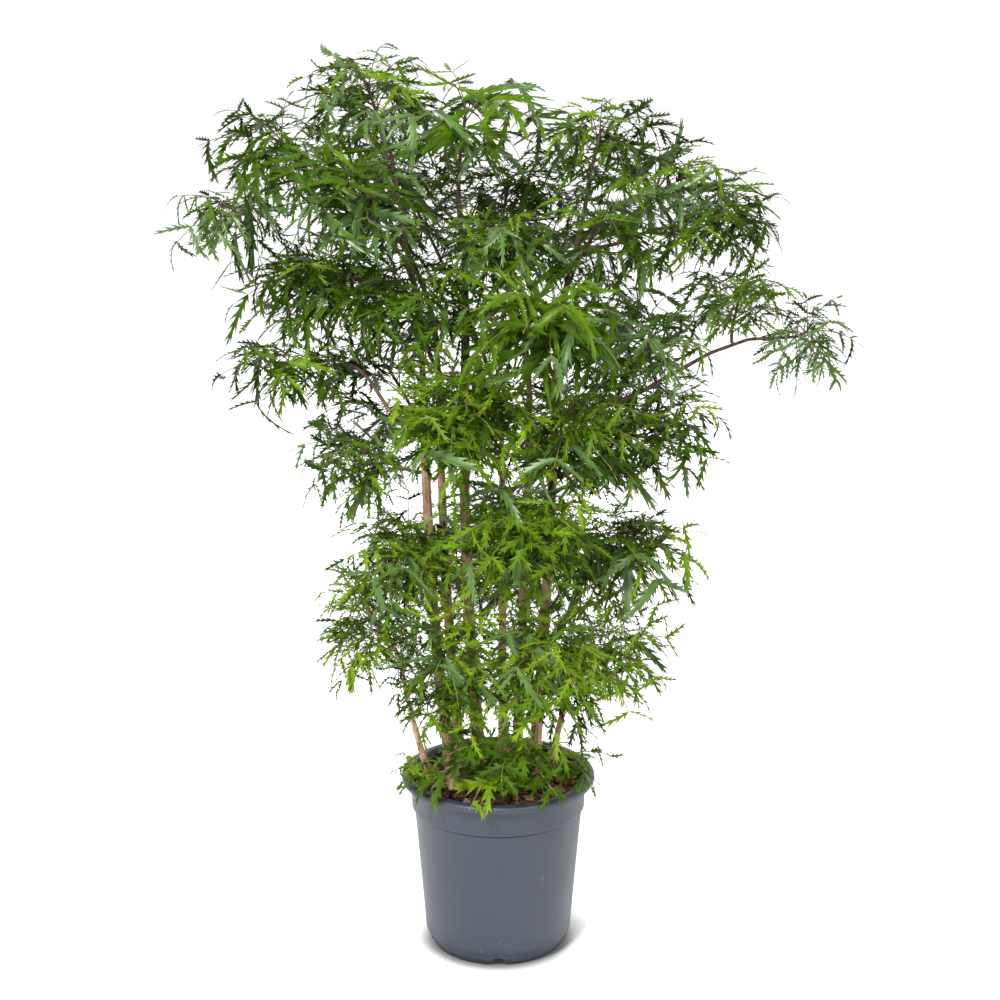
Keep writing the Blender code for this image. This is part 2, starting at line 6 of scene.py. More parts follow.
import bpy
import numpy as np
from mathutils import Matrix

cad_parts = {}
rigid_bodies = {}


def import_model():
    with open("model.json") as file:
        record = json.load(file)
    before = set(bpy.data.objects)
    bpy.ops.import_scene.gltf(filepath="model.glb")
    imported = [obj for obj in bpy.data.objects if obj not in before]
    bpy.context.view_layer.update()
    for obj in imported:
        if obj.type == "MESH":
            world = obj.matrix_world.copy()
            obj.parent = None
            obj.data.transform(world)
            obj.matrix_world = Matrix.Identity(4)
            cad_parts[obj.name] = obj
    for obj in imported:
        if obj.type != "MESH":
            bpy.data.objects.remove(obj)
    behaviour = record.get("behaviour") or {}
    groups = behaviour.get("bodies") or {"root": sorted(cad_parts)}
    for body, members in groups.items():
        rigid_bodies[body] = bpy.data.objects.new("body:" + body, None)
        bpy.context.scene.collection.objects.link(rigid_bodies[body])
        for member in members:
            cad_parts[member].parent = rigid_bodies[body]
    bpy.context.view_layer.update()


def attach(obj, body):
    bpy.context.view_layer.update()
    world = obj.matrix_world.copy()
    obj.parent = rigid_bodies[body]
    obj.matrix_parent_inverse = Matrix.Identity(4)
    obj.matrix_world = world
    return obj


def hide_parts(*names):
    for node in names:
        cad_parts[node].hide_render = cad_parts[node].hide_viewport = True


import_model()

# The looks of a potted ming aralia: bark, soil and pot, and leaves that the part's growth rule carries on
# to their leaflets

# Sizes of the pot, as in the part
POT_HEIGHT = 0.225
RIM_RADIUS = 0.120
FOOT_RADIUS = 0.0808
COLLAR_RADIUS = 0.1078
WALL_THICKNESS = 0.0021
SOIL_TOP = 0.207
GAP = 0.0003
LEAF_TO_LIMB = 0.0012

# Limbs
CANE_STATIONS = (0.0, 0.025, 0.08, 0.3, 0.55, 0.8, 1.0)
ROOT_FLARE = {0.0: 1.7, 0.025: 1.22, 0.08: 1.04}
BOUGH_STATIONS = 7
FIRST_STRETCH = 1.6
LIMB_PULL = 0.38

# The stem of a mass: its stations, its greatest radius, its taper, and how high it ends
STEM_STATIONS = 4
STEM_RADIUS = 0.0026
STEM_TAPER = 0.75
HUB_RISE = 0.2
STEM_LIFT = 0.5

# Fronds
GOLDEN_ANGLE = math.radians(137.5)
OUTWARD_FROND = 6
HIGHEST_RISE = 0.92
LOWEST_RISE = -0.92
HIGHEST_ROOT = 0.97
LOWEST_ROOT = 0.15
FROND_TRIES = 6
TRY_TURN = 0.35
FROND_ARCH = 0.7
FROND_PULL = 0.33
FROND_STATIONS = 7
LEAST_FROND = 0.030
EDGE_ROOM = 0.002
MARCH = 0.003

# A cane: where it stands on the soil, where it ends, its sideways bow halfway up, its radii
Cane = namedtuple("Cane", "name foot tip bow foot_radius tip_radius")
CANES = [
    Cane("cane_left", (-0.055, -0.02), (-0.088, -0.01, 0.7), (-0.008, -0.004), 0.008, 0.005),
    Cane("cane_left_twin", (-0.045, 0.014), (-0.072, 0.045, 0.72), (-0.006, 0.004), 0.007, 0.0042),
    Cane("cane_middle", (-0.022, 0.042), (-0.038, 0.02, 0.8), (-0.01, 0.006), 0.0085, 0.0048),
    Cane("cane_right", (0.042, -0.015), (0.07, -0.01, 0.76), (0.004, -0.004), 0.0075, 0.0046),
    Cane("cane_right_back", (0.022, 0.022), (0.038, 0.05, 0.69), (0.002, 0.004), 0.007, 0.0042),
    Cane("cane_back", (0.006, 0.074), (0.005, 0.13, 0.6), (0.0, 0.008), 0.0062, 0.0038),
    Cane("shoot_left", (-0.08, -0.012), (-0.12, -0.008, 0.372), (-0.004, 0.0), 0.0046, 0.0026),
    Cane("shoot_right", (0.064, 0.032), (0.098, 0.018, 0.36), (-0.002, 0.004), 0.0046, 0.0026),
]

# A bough: the limb it leaves, how far along that limb (1 is its tip), its end, its heading there, its radii
Bough = namedtuple("Bough", "name parent along end heading radius tip_radius")
BOUGHS = [
    Bough("bough_crest_left", "cane_left", 1.0, (-0.122, 0.012, 0.975), (-0.15, 0.05, 1), 0.0042, 0.0024),
    Bough("bough_left_arch", "bough_crest_left", 0.86, (-0.262, 0.0, 0.95), (-1, 0, -0.45), 0.0026, 0.0017),
    Bough("bough_low_left", "cane_left", 0.93, (-0.184, -0.024, 0.748), (-1, -0.1, 0.15), 0.0028, 0.0018),
    Bough(
        "bough_shoulder_left", "cane_left_twin", 1.0, (-0.19, 0.004, 0.962), (-0.8, -0.2, 0.6), 0.0036, 0.0021
    ),
    Bough("bough_crest_middle", "cane_middle", 1.0, (-0.044, -0.01, 0.98), (0.1, -0.2, 1), 0.004, 0.0023),
    Bough("bough_front_left", "cane_middle", 0.86, (-0.128, -0.092, 0.905), (-0.6, -0.6, 0.5), 0.003, 0.0019),
    Bough("bough_crest_right", "cane_right", 1.0, (0.106, 0.02, 0.952), (0.1, 0.1, 1), 0.004, 0.0024),
    Bough("bough_right_arch", "bough_crest_right", 0.62, (0.226, -0.004, 0.9), (1, 0, -0.35), 0.0027, 0.0017),
    Bough("bough_right_arm", "cane_right", 0.86, (0.346, 0.0, 0.772), (1, 0, -0.12), 0.0034, 0.0018),
    Bough("bough_front", "cane_right", 0.94, (0.054, -0.088, 0.792), (0, -1, 0.3), 0.0028, 0.0019),
    Bough(
        "bough_centre_back", "cane_right_back", 1.0, (0.004, 0.072, 0.868), (-0.2, 0.05, 1), 0.0036, 0.0021
    ),
    Bough("bough_back_left", "cane_back", 1.0, (-0.075, 0.152, 0.85), (-0.4, 0.1, 0.9), 0.0034, 0.0021),
    Bough("bough_back_right", "cane_back", 0.88, (0.086, 0.156, 0.8), (0.3, 0.1, 0.9), 0.0028, 0.0019),
]

# A mass: the limb it grows from and how far along, the ellipsoid it keeps to, and its fronds in life
Mass = namedtuple("Mass", "name parent along centre radii fronds")
MASSES = [
    Mass("crest_left", "bough_crest_left", 1.0, (-0.152, 0.03, 1.052), (0.082, 0.1, 0.066), 18),
    Mass("crest_middle", "bough_crest_middle", 1.0, (-0.036, -0.03, 1.03), (0.092, 0.1, 0.062), 18),
    Mass("crest_right", "bough_crest_right", 1.0, (0.12, 0.03, 1.0), (0.096, 0.1, 0.06), 18),
    Mass("shoulder_left", "bough_shoulder_left", 1.0, (-0.252, -0.02, 0.99), (0.096, 0.09, 0.072), 18),
    Mass("shoulder_right", "bough_right_arch", 0.45, (0.19, 0.02, 0.95), (0.085, 0.1, 0.066), 18),
    Mass("tip_left", "bough_left_arch", 1.0, (-0.314, 0.0, 0.9), (0.082, 0.07, 0.07), 15),
    Mass("edge_right", "bough_right_arch", 1.0, (0.256, -0.015, 0.914), (0.076, 0.08, 0.072), 15),
    Mass("front_left", "bough_front_left", 1.0, (-0.165, -0.13, 0.955), (0.088, 0.08, 0.07), 18),
    Mass("middle_left", "bough_crest_left", 0.45, (-0.213, 0.02, 0.823), (0.105, 0.1, 0.076), 18),
    Mass("low_left", "bough_low_left", 1.0, (-0.25, -0.03, 0.736), (0.09, 0.09, 0.052), 15),
    Mass("inner_left", "bough_front_left", 0.5, (-0.09, -0.08, 0.826), (0.092, 0.085, 0.08), 15),
    Mass("centre_high", "bough_centre_back", 1.0, (0.012, 0.08, 0.925), (0.095, 0.1, 0.075), 12),
    Mass("centre_upper", "bough_crest_middle", 0.45, (0.002, -0.06, 0.885), (0.085, 0.075, 0.058), 15),
    Mass("centre_front", "bough_front", 1.0, (0.05, -0.15, 0.808), (0.098, 0.09, 0.074), 18),
    Mass("inner_right", "bough_crest_right", 0.5, (0.118, -0.08, 0.904), (0.082, 0.085, 0.072), 18),
    Mass("middle_right", "bough_right_arm", 0.42, (0.165, 0.005, 0.762), (0.092, 0.1, 0.072), 15),
    Mass("arm_upper", "bough_right_arm", 0.76, (0.279, 0.0, 0.822), (0.074, 0.06, 0.044), 12),
    Mass("arm_tip", "bough_right_arm", 1.0, (0.366, 0.0, 0.766), (0.062, 0.06, 0.072), 15),
    Mass("low_right", "cane_right", 0.72, (0.199, 0.0, 0.66), (0.084, 0.1, 0.082), 18),
    Mass("lobe_left", "cane_left", 0.82, (-0.176, -0.02, 0.628), (0.07, 0.09, 0.064), 15),
    Mass("centre_left", "cane_left", 0.9, (-0.036, -0.105, 0.702), (0.092, 0.08, 0.088), 18),
    Mass("centre_right", "cane_right", 0.76, (0.09, -0.085, 0.672), (0.092, 0.085, 0.095), 18),
    Mass("waist_front", "cane_right", 0.55, (0.03, -0.095, 0.56), (0.1, 0.08, 0.085), 18),
    Mass("waist_left", "cane_left", 0.58, (-0.108, -0.03, 0.505), (0.08, 0.085, 0.085), 18),
    Mass("lower_left", "shoot_left", 1.0, (-0.16, 0.0, 0.415), (0.07, 0.09, 0.098), 18),
    Mass("lower_right", "cane_right_back", 0.58, (0.15, 0.01, 0.492), (0.105, 0.09, 0.082), 18),
    Mass("bottom_right", "shoot_right", 1.0, (0.138, -0.01, 0.375), (0.085, 0.09, 0.092), 15),
    Mass("base_left", "cane_left", 0.24, (-0.055, -0.085, 0.395), (0.08, 0.075, 0.105), 15),
    Mass("base_right", "cane_right", 0.3, (0.058, -0.085, 0.395), (0.085, 0.075, 0.1), 15),
    Mass("base_front", "cane_right", 0.08, (0.002, -0.085, 0.262), (0.092, 0.062, 0.068), 15),
    Mass("rim_left", "shoot_left", 0.22, (-0.094, -0.055, 0.24), (0.04, 0.045, 0.04), 12),
    Mass("rim_right", "cane_right", 0.07, (0.104, -0.042, 0.246), (0.042, 0.042, 0.038), 12),
    Mass("back_high_left", "bough_back_left", 1.0, (-0.12, 0.17, 0.93), (0.12, 0.1, 0.1), 15),
    Mass("back_high_right", "bough_back_right", 1.0, (0.13, 0.17, 0.88), (0.12, 0.1, 0.1), 15),
    Mass("back_middle_left", "cane_left_twin", 0.84, (-0.14, 0.14, 0.69), (0.115, 0.1, 0.1), 12),
    Mass("back_middle_right", "cane_back", 0.76, (0.12, 0.15, 0.64), (0.115, 0.095, 0.095), 15),
    Mass("back_low", "cane_back", 0.5, (0.0, 0.165, 0.45), (0.115, 0.085, 0.11), 12),
]

UP = np.array((0.0, 0.0, 1.0))
Limb = namedtuple("Limb", "points radii")


def unit(vector):
    return vector / np.linalg.norm(vector)


def units(vectors):
    return vectors / np.linalg.norm(vectors, axis=-1, keepdims=True)


# Materials

# Heights between which the bark turns dark, and below which the pot is dusty
BARK_DARKENS = (0.56, 0.74)
DUST_FADES = (0.010, 0.060)

# How a leaf shines, plainly and where it is blue-green
LEAF_ROUGHNESS = 0.34
LEAF_SHINE = 0.07
BLUE_SHINE = 0.24

# The shade colour is painted shade: darker leaves that stand for the shadow deep in the crown and between
# sprays
COLOURS = {
    "deep": (0.0299, 0.0651, 0.0020),
    "mid": (0.0493, 0.0986, 0.0030),
    "fresh": (0.0722, 0.1338, 0.0040),
    "lime": (0.0986, 0.1637, 0.0049),
    "blue": (0.0530, 0.1010, 0.0220),
    "shade": (0.0141, 0.0334, 0.0010),
    "old": (0.1408, 0.1628, 0.0070),
}


def wired(made, found, inputs):
    """Fills a node's inputs, each with a value or another node's output, and returns its outputs."""
    for name, value in inputs.items():
        if isinstance(value, bpy.types.NodeSocket):
            made.node_tree.links.new(value, found.inputs[name])
        else:
            found.inputs[name].default_value = value
    return found.outputs


def node(made, kind):
    return made.node_tree.nodes.new("ShaderNode" + kind)


def in_object(made):
    return node(made, "TexCoord").outputs["Object"]


def greys(*stops):
    return [(at, (shade,) * 3) for at, shade in stops]


def noise(made, scale, detail=4.0, stretch=(1, 1, 1)):
    """A noise in object space, stretched."""
    place = wired(made, node(made, "Mapping"), {"Scale": stretch, "Vector": in_object(made)})["Vector"]
    return wired(made, node(made, "TexNoise"), {"Scale": scale, "Detail": detail, "Vector": place})["Fac"]


def ramp(made, value, stops):
    """Colours laid out along a value."""
    found = node(made, "ValToRGB")
    while len(found.color_ramp.elements) < len(stops):
        found.color_ramp.elements.new(0.5)
    for element, (at, colour) in zip(found.color_ramp.elements, stops):
        element.position = at
        element.color = (*colour, 1.0)
    return wired(made, found, {"Fac": value})["Color"]


def mixed(made, blend, factor, a, b):
    found = node(made, "Mix")
    found.data_type = "RGBA"
    found.blend_type = blend
    a, b = ((*value, 1.0) if isinstance(value, tuple) else value for value in (a, b))
    return wired(made, found, {0: factor, 6: a, 7: b})[2]


def map_range(made, value, ends):
    """The value from one range laid on another."""
    return wired(made, node(made, "MapRange"), {"Value": value, **ends})["Result"]


def plain(name, roughness, specular=0.5):
    """A Principled material with its constants set."""
    made = bpy.data.materials.new(name)
    made.use_nodes = True
    shader = made.node_tree.nodes["Principled BSDF"]
    wired(made, shader, {"Roughness": roughness, "Specular IOR Level": specular})
    return made, shader


def painted(made, shader, colour):
    wired(made, shader, {"Base Color": colour})


def bumped(made, shader, height, strength, distance):
    inputs = {"Strength": strength, "Distance": distance, "Height": height}
    wired(made, shader, {"Normal": wired(made, node(made, "Bump"), inputs)["Normal"]})


def scaled(colour, factor):
    return tuple(min(1.0, c * factor) for c in colour)


def leaf_material(name):
    colour = COLOURS[name]
    made, shader = plain("leaf_" + name, LEAF_ROUGHNESS, BLUE_SHINE if name == "blue" else LEAF_SHINE)
    patches = ramp(made, noise(made, 38, 3.0), [(0.30, scaled(colour, 0.72)), (0.70, scaled(colour, 1.30))])
    mottle = ramp(made, noise(made, 420, 4.0), greys((0.35, 0.82), (0.65, 1.0)))
    painted(made, shader, mixed(made, "MULTIPLY", 0.8, patches, mottle))
    bumped(made, shader, noise(made, 700, 3.0), 0.25, 0.0006)
    return made


# Finishes: roughness and specular level, the grain's scale and detail, the relief's, its strength and depth
TWIG = ((0.6, 0.35), (160, 4.0), (900, 3.0), (0.3, 0.0004))
# The finish of the pot's inside wall, whose near-black colour is painted shade
INSIDE_SHADE_FINISH = ((0.7, 0.2), (60, 4.0), (500, 3.0), (0.3, 0.0006))
CRUMBS = ((0.92, 0.2), (190, 6.0), (420, 5.0), (0.8, 0.0020))


def two_toned(name, finish, dark, light):
    shine, grain, relief, depth = finish
    made, shader = plain(name, *shine)
    painted(made, shader, ramp(made, noise(made, *grain), [(0.3, dark), (0.7, light)]))
    bumped(made, shader, noise(made, *relief), *depth)
    return made


def height_blend(made, low, high):
    """From 0 at height low to 1 at height high."""
    height = wired(made, node(made, "SeparateXYZ"), {0: in_object(made)})["Z"]
    return map_range(made, height, {"From Min": low, "From Max": high})


def bark_material():
    """Pale tan canes with fine cracks along them, darker and browner above."""
    made, shader = plain("cane_bark", 0.8, 0.25)
    grain = noise(made, 220, 6.0, (1, 1, 0.12))
    spots = noise(made, 130, 5.0)
    tans = [(0.25, (0.20, 0.118, 0.060)), (0.5, (0.43, 0.280, 0.165)), (0.75, (0.58, 0.415, 0.280))]
    pale = ramp(made, grain, tans)
    dark = ramp(made, grain, [(0.3, (0.030, 0.016, 0.010)), (0.7, (0.095, 0.055, 0.034))])
    both = mixed(made, "MIX", height_blend(made, *BARK_DARKENS), pale, dark)
    stain = ramp(made, spots, [(0.38, (0.66, 0.60, 0.56)), (0.6, (1.0, 1.0, 1.0))])
    painted(made, shader, mixed(made, "MULTIPLY", 0.75, both, stain))
    bumped(made, shader, grain, 0.6, 0.0012)
    return made


def pot_material():
    """Slate-grey polypropylene, satin, with faint clouds and rubbed marks low down."""
    made, shader = plain("pot_plastic", 0.42, 0.45)
    slates = [(0.3, (0.0155, 0.0215, 0.0320)), (0.7, (0.0198, 0.0267, 0.0387))]
    clouds = ramp(made, noise(made, 9, 4.0), slates)
    streaks = noise(made, 55, 5.0, (1, 1, 0.35))
    marks = ramp(made, streaks, greys((0.66, 0.0), (0.74, 0.45)))
    grit = ramp(made, noise(made, 320, 3.0), greys((0.60, 0.0), (0.70, 0.5)))
    low = mixed(made, "MIX", height_blend(made, *DUST_FADES), grit, (0.0, 0.0, 0.0))
    rubbed = mixed(made, "MIX", mixed(made, "LIGHTEN", 1.0, marks, low), clouds, (0.090, 0.104, 0.125))
    painted(made, shader, rubbed)
    wired(made, shader, {"Roughness": map_range(made, streaks, {"To Min": 0.36, "To Max": 0.52})})
    bumped(made, shader, noise(made, 1100, 2.0), 0.10, 0.0003)
    return made


# Meshes


class Heap:
    """Corners and triangles of many small things of one look."""

    def __init__(self):
        self.corners = []
        self.triangles = []
        self.count = 0

    def add(self, corners, triangles):
        corners = np.asarray(corners, float).reshape(-1, 3)
        triangles = np.asarray(triangles, int).reshape(-1, 3)
        self.corners.append(corners)
        self.triangles.append(triangles + self.count)
        self.count += len(corners)


def mesh_object(name, corners, faces, made, smooth=True):
    mesh = bpy.data.meshes.new(name)
    mesh.from_pydata(np.asarray(corners).tolist(), [], faces if isinstance(faces, list) else faces.tolist())
    mesh.materials.append(made)
    if smooth:
        mesh.shade_smooth()
    found = bpy.data.objects.new(name, mesh)
    bpy.context.scene.collection.objects.link(found)
    return found


def heap_object(name, heap, made, smooth=True):
    """One joined piece from a heap, riding on the plant."""
    found = mesh_object(name, np.vstack(heap.corners), np.vstack(heap.triangles), made, smooth)
    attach(found, "root")
    return found


# A path whose rise is over this share of its length counts as upright
UPRIGHT = 0.9


def frames_along(points):
    """A sideways and an upward direction at each point of a path, square to it and never twisting."""
    chord = unit(points[-1] - points[0])
    across = unit(np.cross(chord, UP if abs(chord[2]) < UPRIGHT else np.array((0.0, 1.0, 0.0))))
    last = len(points) - 1
    frames = []
    for k in range(last + 1):
        tangent = unit(points[min(k + 1, last)] - points[max(k - 1, 0)])
        side = unit(across - tangent * across.dot(tangent))
        frames.append((side, np.cross(side, tangent)))
    return frames


def tube_mesh(points, radii, sides, relief=None):
    """A tapering tube, closed at both ends. relief adds height by station and side."""
    points = [np.asarray(p, float) for p in points]
    turns = np.arange(sides) * math.tau / sides
    corners = []
    for k, (centre, radius, (side, up)) in enumerate(zip(points, radii, frames_along(points))):
        ring = np.outer(np.cos(turns), side) + np.outer(np.sin(turns), up)
        lift = radius if relief is None else (radius + relief[k])[:, None]
        corners.append(centre + ring * lift)
    count = len(points)
    corners.append(points[0][None, :])
    corners.append(points[-1][None, :])
    ring = np.arange(sides)
    after = (ring + 1) % sides
    triangles = []
    for k in range(count - 1):
        a, b = k * sides + ring, k * sides + after
        triangles.append(np.stack([b, a, a + sides], axis=1))
        triangles.append(np.stack([b, a + sides, b + sides], axis=1))
    first, last = count * sides, count * sides + 1
    triangles.append(np.stack([ring, after, np.full(sides, first)], axis=1))
    end = (count - 1) * sides
    triangles.append(np.stack([end + after, end + ring, np.full(sides, last)], axis=1))
    return np.vstack(corners), np.vstack(triangles)


# Limbs


def cane_limb(cane):
    """A cane's centreline and radii, with its root flare, from the flat cut on the soil to its tip."""
    foot = np.array((*cane.foot, SOIL_TOP + GAP))
    tip = np.array(cane.tip)
    bow = np.array((*cane.bow, 0.0))
    points = [foot + (tip - foot) * t + bow * math.sin(math.pi * t) for t in CANE_STATIONS]
    points[1][:2] = foot[:2]
    taper = [cane.foot_radius + (cane.tip_radius - cane.foot_radius) * t for t in CANE_STATIONS]
    return Limb(points, [r * ROOT_FLARE.get(t, 1.0) for r, t in zip(taper, CANE_STATIONS)])


def place_on(limb, along):
    """The point, direction and radius at a share of the limb's length."""
    lengths = [np.linalg.norm(b - a) for a, b in zip(limb.points, limb.points[1:])]
    rest = along * sum(lengths)
    last = len(lengths) - 1
    for k, length in enumerate(lengths):
        if rest <= length or k == last:
            t = min(rest / length, 1.0)
            point = limb.points[k] + (limb.points[k + 1] - limb.points[k]) * t
            radius = limb.radii[k] + (limb.radii[k + 1] - limb.radii[k]) * t
            return point, unit(limb.points[k + 1] - limb.points[k]), radius
        rest -= length


def root_of(limb, along, towards):
    """Where a child starts, just clear of its parent, and its first direction: sideways, or on at a tip."""
    point, tangent, radius = place_on(limb, along)
    if along >= 1.0:
        return point + tangent * GAP, tangent
    way = np.array(towards) - point
    square = unit(way - tangent * way.dot(tangent))
    return point + square * (radius + GAP), square


def curve(start, first, end, last, stations, pull):
    """A cubic curve that leaves start along first and reaches end along last."""
    span = np.linalg.norm(end - start) * pull
    a = start + first * span
    b = end - last * span
    points = []
    for t in np.linspace(0, 1, stations):
        s = 1 - t
        points.append(start * s**3 + a * (3 * t * s**2) + b * (3 * t**2 * s) + end * t**3)
    return points


def tapering(points, radius, tip_radius):
    steps = len(points) - 1
    return Limb(points, [radius + (tip_radius - radius) * k / steps for k in range(steps + 1)])


def limb_from(parent, along, end, heading, radius, tip_radius, stations):
    """A tapering limb from its parent to end. A short straight stretch keeps its flat root clear."""
    start, first = root_of(parent, along, end)
    points = curve(start, first, np.array(end), unit(np.array(heading, float)), stations, LIMB_PULL)
    points.insert(1, start + first * (FIRST_STRETCH * radius))
    return tapering(points, radius, tip_radius)


def all_limbs():
    """The centreline and radii of every cane and bough, by name."""
    limbs = {cane.name: cane_limb(cane) for cane in CANES}
    for bough in BOUGHS:
        parent = limbs[bough.parent]
        sizes = (bough.radius, bough.tip_radius, BOUGH_STATIONS)
        limbs[bough.name] = limb_from(parent, bough.along, bough.end, bough.heading, *sizes)
    return limbs


def mass_stem(mass, limbs):
    """The stem that a mass grows on, from its limb to just above the middle of its space."""
    parent = limbs[mass.parent]
    centre = np.array(mass.centre)
    hub = centre + UP * (HUB_RISE * mass.radii[2])
    radius = min(STEM_RADIUS, place_on(parent, mass.along)[2])
    heading = unit(hub - parent.points[-1]) + UP * STEM_LIFT
    return limb_from(parent, mass.along, hub, heading, radius, STEM_TAPER * radius, STEM_STATIONS)


def smooth_limb(limb, step):
    """The limb with a rounder centreline and a station at each step of its length."""
    points = np.array(limb.points)
    at = np.concatenate([[0], np.cumsum(np.linalg.norm(np.diff(points, axis=0), axis=1))])
    stations = np.linspace(0, at[-1], max(LEAST_STATIONS, int(at[-1] / step)))
    radii = np.interp(stations, at, limb.radii)
    dense = np.stack([np.interp(stations, at, points[:, axis]) for axis in range(3)], axis=1)
    for _ in range(int(SMOOTHING / step)):
        dense[1:-1] = (dense[:-2] + 2 * dense[1:-1] + dense[2:]) / 4
    return dense, radii, stations


# Bark: how far a limb's line is smoothed, the steps along it, the sides of a thick and a thin limb, and its
# ridges, roughness and leaf scars by its radius
SMOOTHING = 0.012
LEAST_STATIONS = 4
BARK_STEP = 0.0025
STEM_STEP = 0.004
THICK_LIMB = 0.004
THICK_SIDES, THIN_SIDES = 20, 12
CORE = 0.97
RIDGE_WAVES = (2, 3, 5)
RIDGE = 0.055
RIDGE_DRIFT = 0.12
ROUGHNESS = 0.018
SCAR_WIDTH = 0.0018
SCAR_RING, SCAR_SIDE = 0.05, 0.16
FIRST_SCAR = (0.01, 0.03)
SCAR_STEP = (0.012, 0.045)


def bark_limb(name, limb, made):
    """A cane or bough with ridged, rough bark and swollen leaf scars."""
    chance = random.Random(name)
    dice = np.random.default_rng(chance.getrandbits(32))
    sides = THICK_SIDES if limb.radii[0] > THICK_LIMB else THIN_SIDES
    points, radii, stations = smooth_limb(limb, BARK_STEP)
    relief = np.zeros((len(points), sides))
    turn = np.arange(sides) * math.tau / sides
    for waves in RIDGE_WAVES:
        phase = np.cumsum(dice.normal(0, RIDGE_DRIFT, len(points))) + dice.uniform(0, math.tau)
        relief += np.sin(turn[None, :] * waves + phase[:, None]) * (RIDGE / waves)
    relief += dice.normal(0, ROUGHNESS, relief.shape)
    at = chance.uniform(*FIRST_SCAR)
    while at < stations[-1]:
        ring = np.exp(-(((stations - at) / SCAR_WIDTH) ** 2))
        facing = chance.uniform(0, math.tau)
        scar = 0.5 + 0.5 * np.cos(turn - facing)
        relief += ring[:, None] * (SCAR_RING + SCAR_SIDE * scar[None, :] ** 2)
        at += chance.uniform(*SCAR_STEP)
    relief *= radii[:, None]
    relief[0] = np.minimum(relief[0], 0)
    relief[-1] = np.minimum(relief[-1], 0)
    corners, triangles = tube_mesh(points, radii * CORE, sides, relief)
    piece = mesh_object("bark_" + name, corners, triangles, made)
    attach(piece, "root")
    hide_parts(name)


# The room that each mass has


class Spaces:
    """Each mass's ellipsoid, less its neighbours' shares, the limbs, the other stems and the pot."""

    def __init__(self, limbs, stems):
        self.centres = np.array([m.centre for m in MASSES])
        self.radii = np.array([m.radii for m in MASSES])
        owned = [(-1, limb) for limb in limbs.values()] + list(enumerate(stems))
        stretches = [
            (a, b, max(r, s), owner)
            for owner, limb in owned
            for a, b, r, s in zip(limb.points, limb.points[1:], limb.radii, limb.radii[1:])
        ]
        self.starts = np.array([s[0] for s in stretches])
        self.runs = np.array([s[1] - s[0] for s in stretches])
        self.thick = np.array([s[2] for s in stretches])
        self.owners = np.array([s[3] for s in stretches])

    def off_limbs(self, index, points):
        foreign = self.owners != index
        starts, runs = self.starts[foreign], self.runs[foreign]
        away = points[:, None, :] - starts
        along = np.clip((away * runs).sum(axis=2) / (runs**2).sum(axis=1), 0, 1)
        distance = np.linalg.norm(away - along[:, :, None] * runs, axis=2)
        return (distance > self.thick[foreign] + LEAF_TO_LIMB).all(axis=1)

    def in_share(self, index, points, slack):
        """True for each point in the mass's share, plus slack, or plus BRIDGE beside a neighbour."""
        away = points[:, None, :] - self.centres
        depth = (np.linalg.norm(away / self.radii, axis=2) - 1) * self.radii.min(axis=1)
        own = depth[:, index].copy()
        depth[:, index] = np.inf
        near = depth.min(axis=1)
        edge = np.where((near < BRIDGE) & (slack > 0), BRIDGE, slack)
        return (own < edge) & (near > own - OVERLAP * slack) & clear_of_pot(points)

    def free(self, index, points):
        return self.in_share(index, points, SLACK) & self.off_limbs(index, points)

    def reach(self, index, start, way):
        limit = self.radii[index].max()
        steps = np.arange(MARCH, limit + MARCH, MARCH)
        free = self.in_share(index, start + way * steps[:, None], 0.0)
        return limit if free.all() else float(steps[free.argmin()] - MARCH)


LEAF_TO_POT = 0.0015
INNER_RADIUS = COLLAR_RADIUS - WALL_THICKNESS
LEAF_TO_SOIL = 0.004


def clear_of_pot(points):
    reach = np.hypot(points[:, 0], points[:, 1])
    above = points[:, 2] > POT_HEIGHT + LEAF_TO_POT
    beside = reach > RIM_RADIUS + LEAF_TO_POT
    inside = reach < INNER_RADIUS - LEAF_TO_POT
    return above | beside | (inside & (points[:, 2] > SOIL_TOP + LEAF_TO_SOIL))


# Leaflets


# A blade: where its lobes begin and their share of it, its outline (how narrow its ends are, where its curve
# starts, and how far its widest place lies from its middle), the depth of its notches, and how its lobes vary
LOBES_FROM = 0.04
LOBES_SHARE = 0.90
END_WIDTH = 0.25
CURVE_START = 0.08
CURVE_SKEW = 0.8
NOTCH_WIDTH = 0.85
LOBE_SWEEPS = (0.75, 1.25)
LOBE_REACHES = (0.75, 1.15)
SHAPES = 4


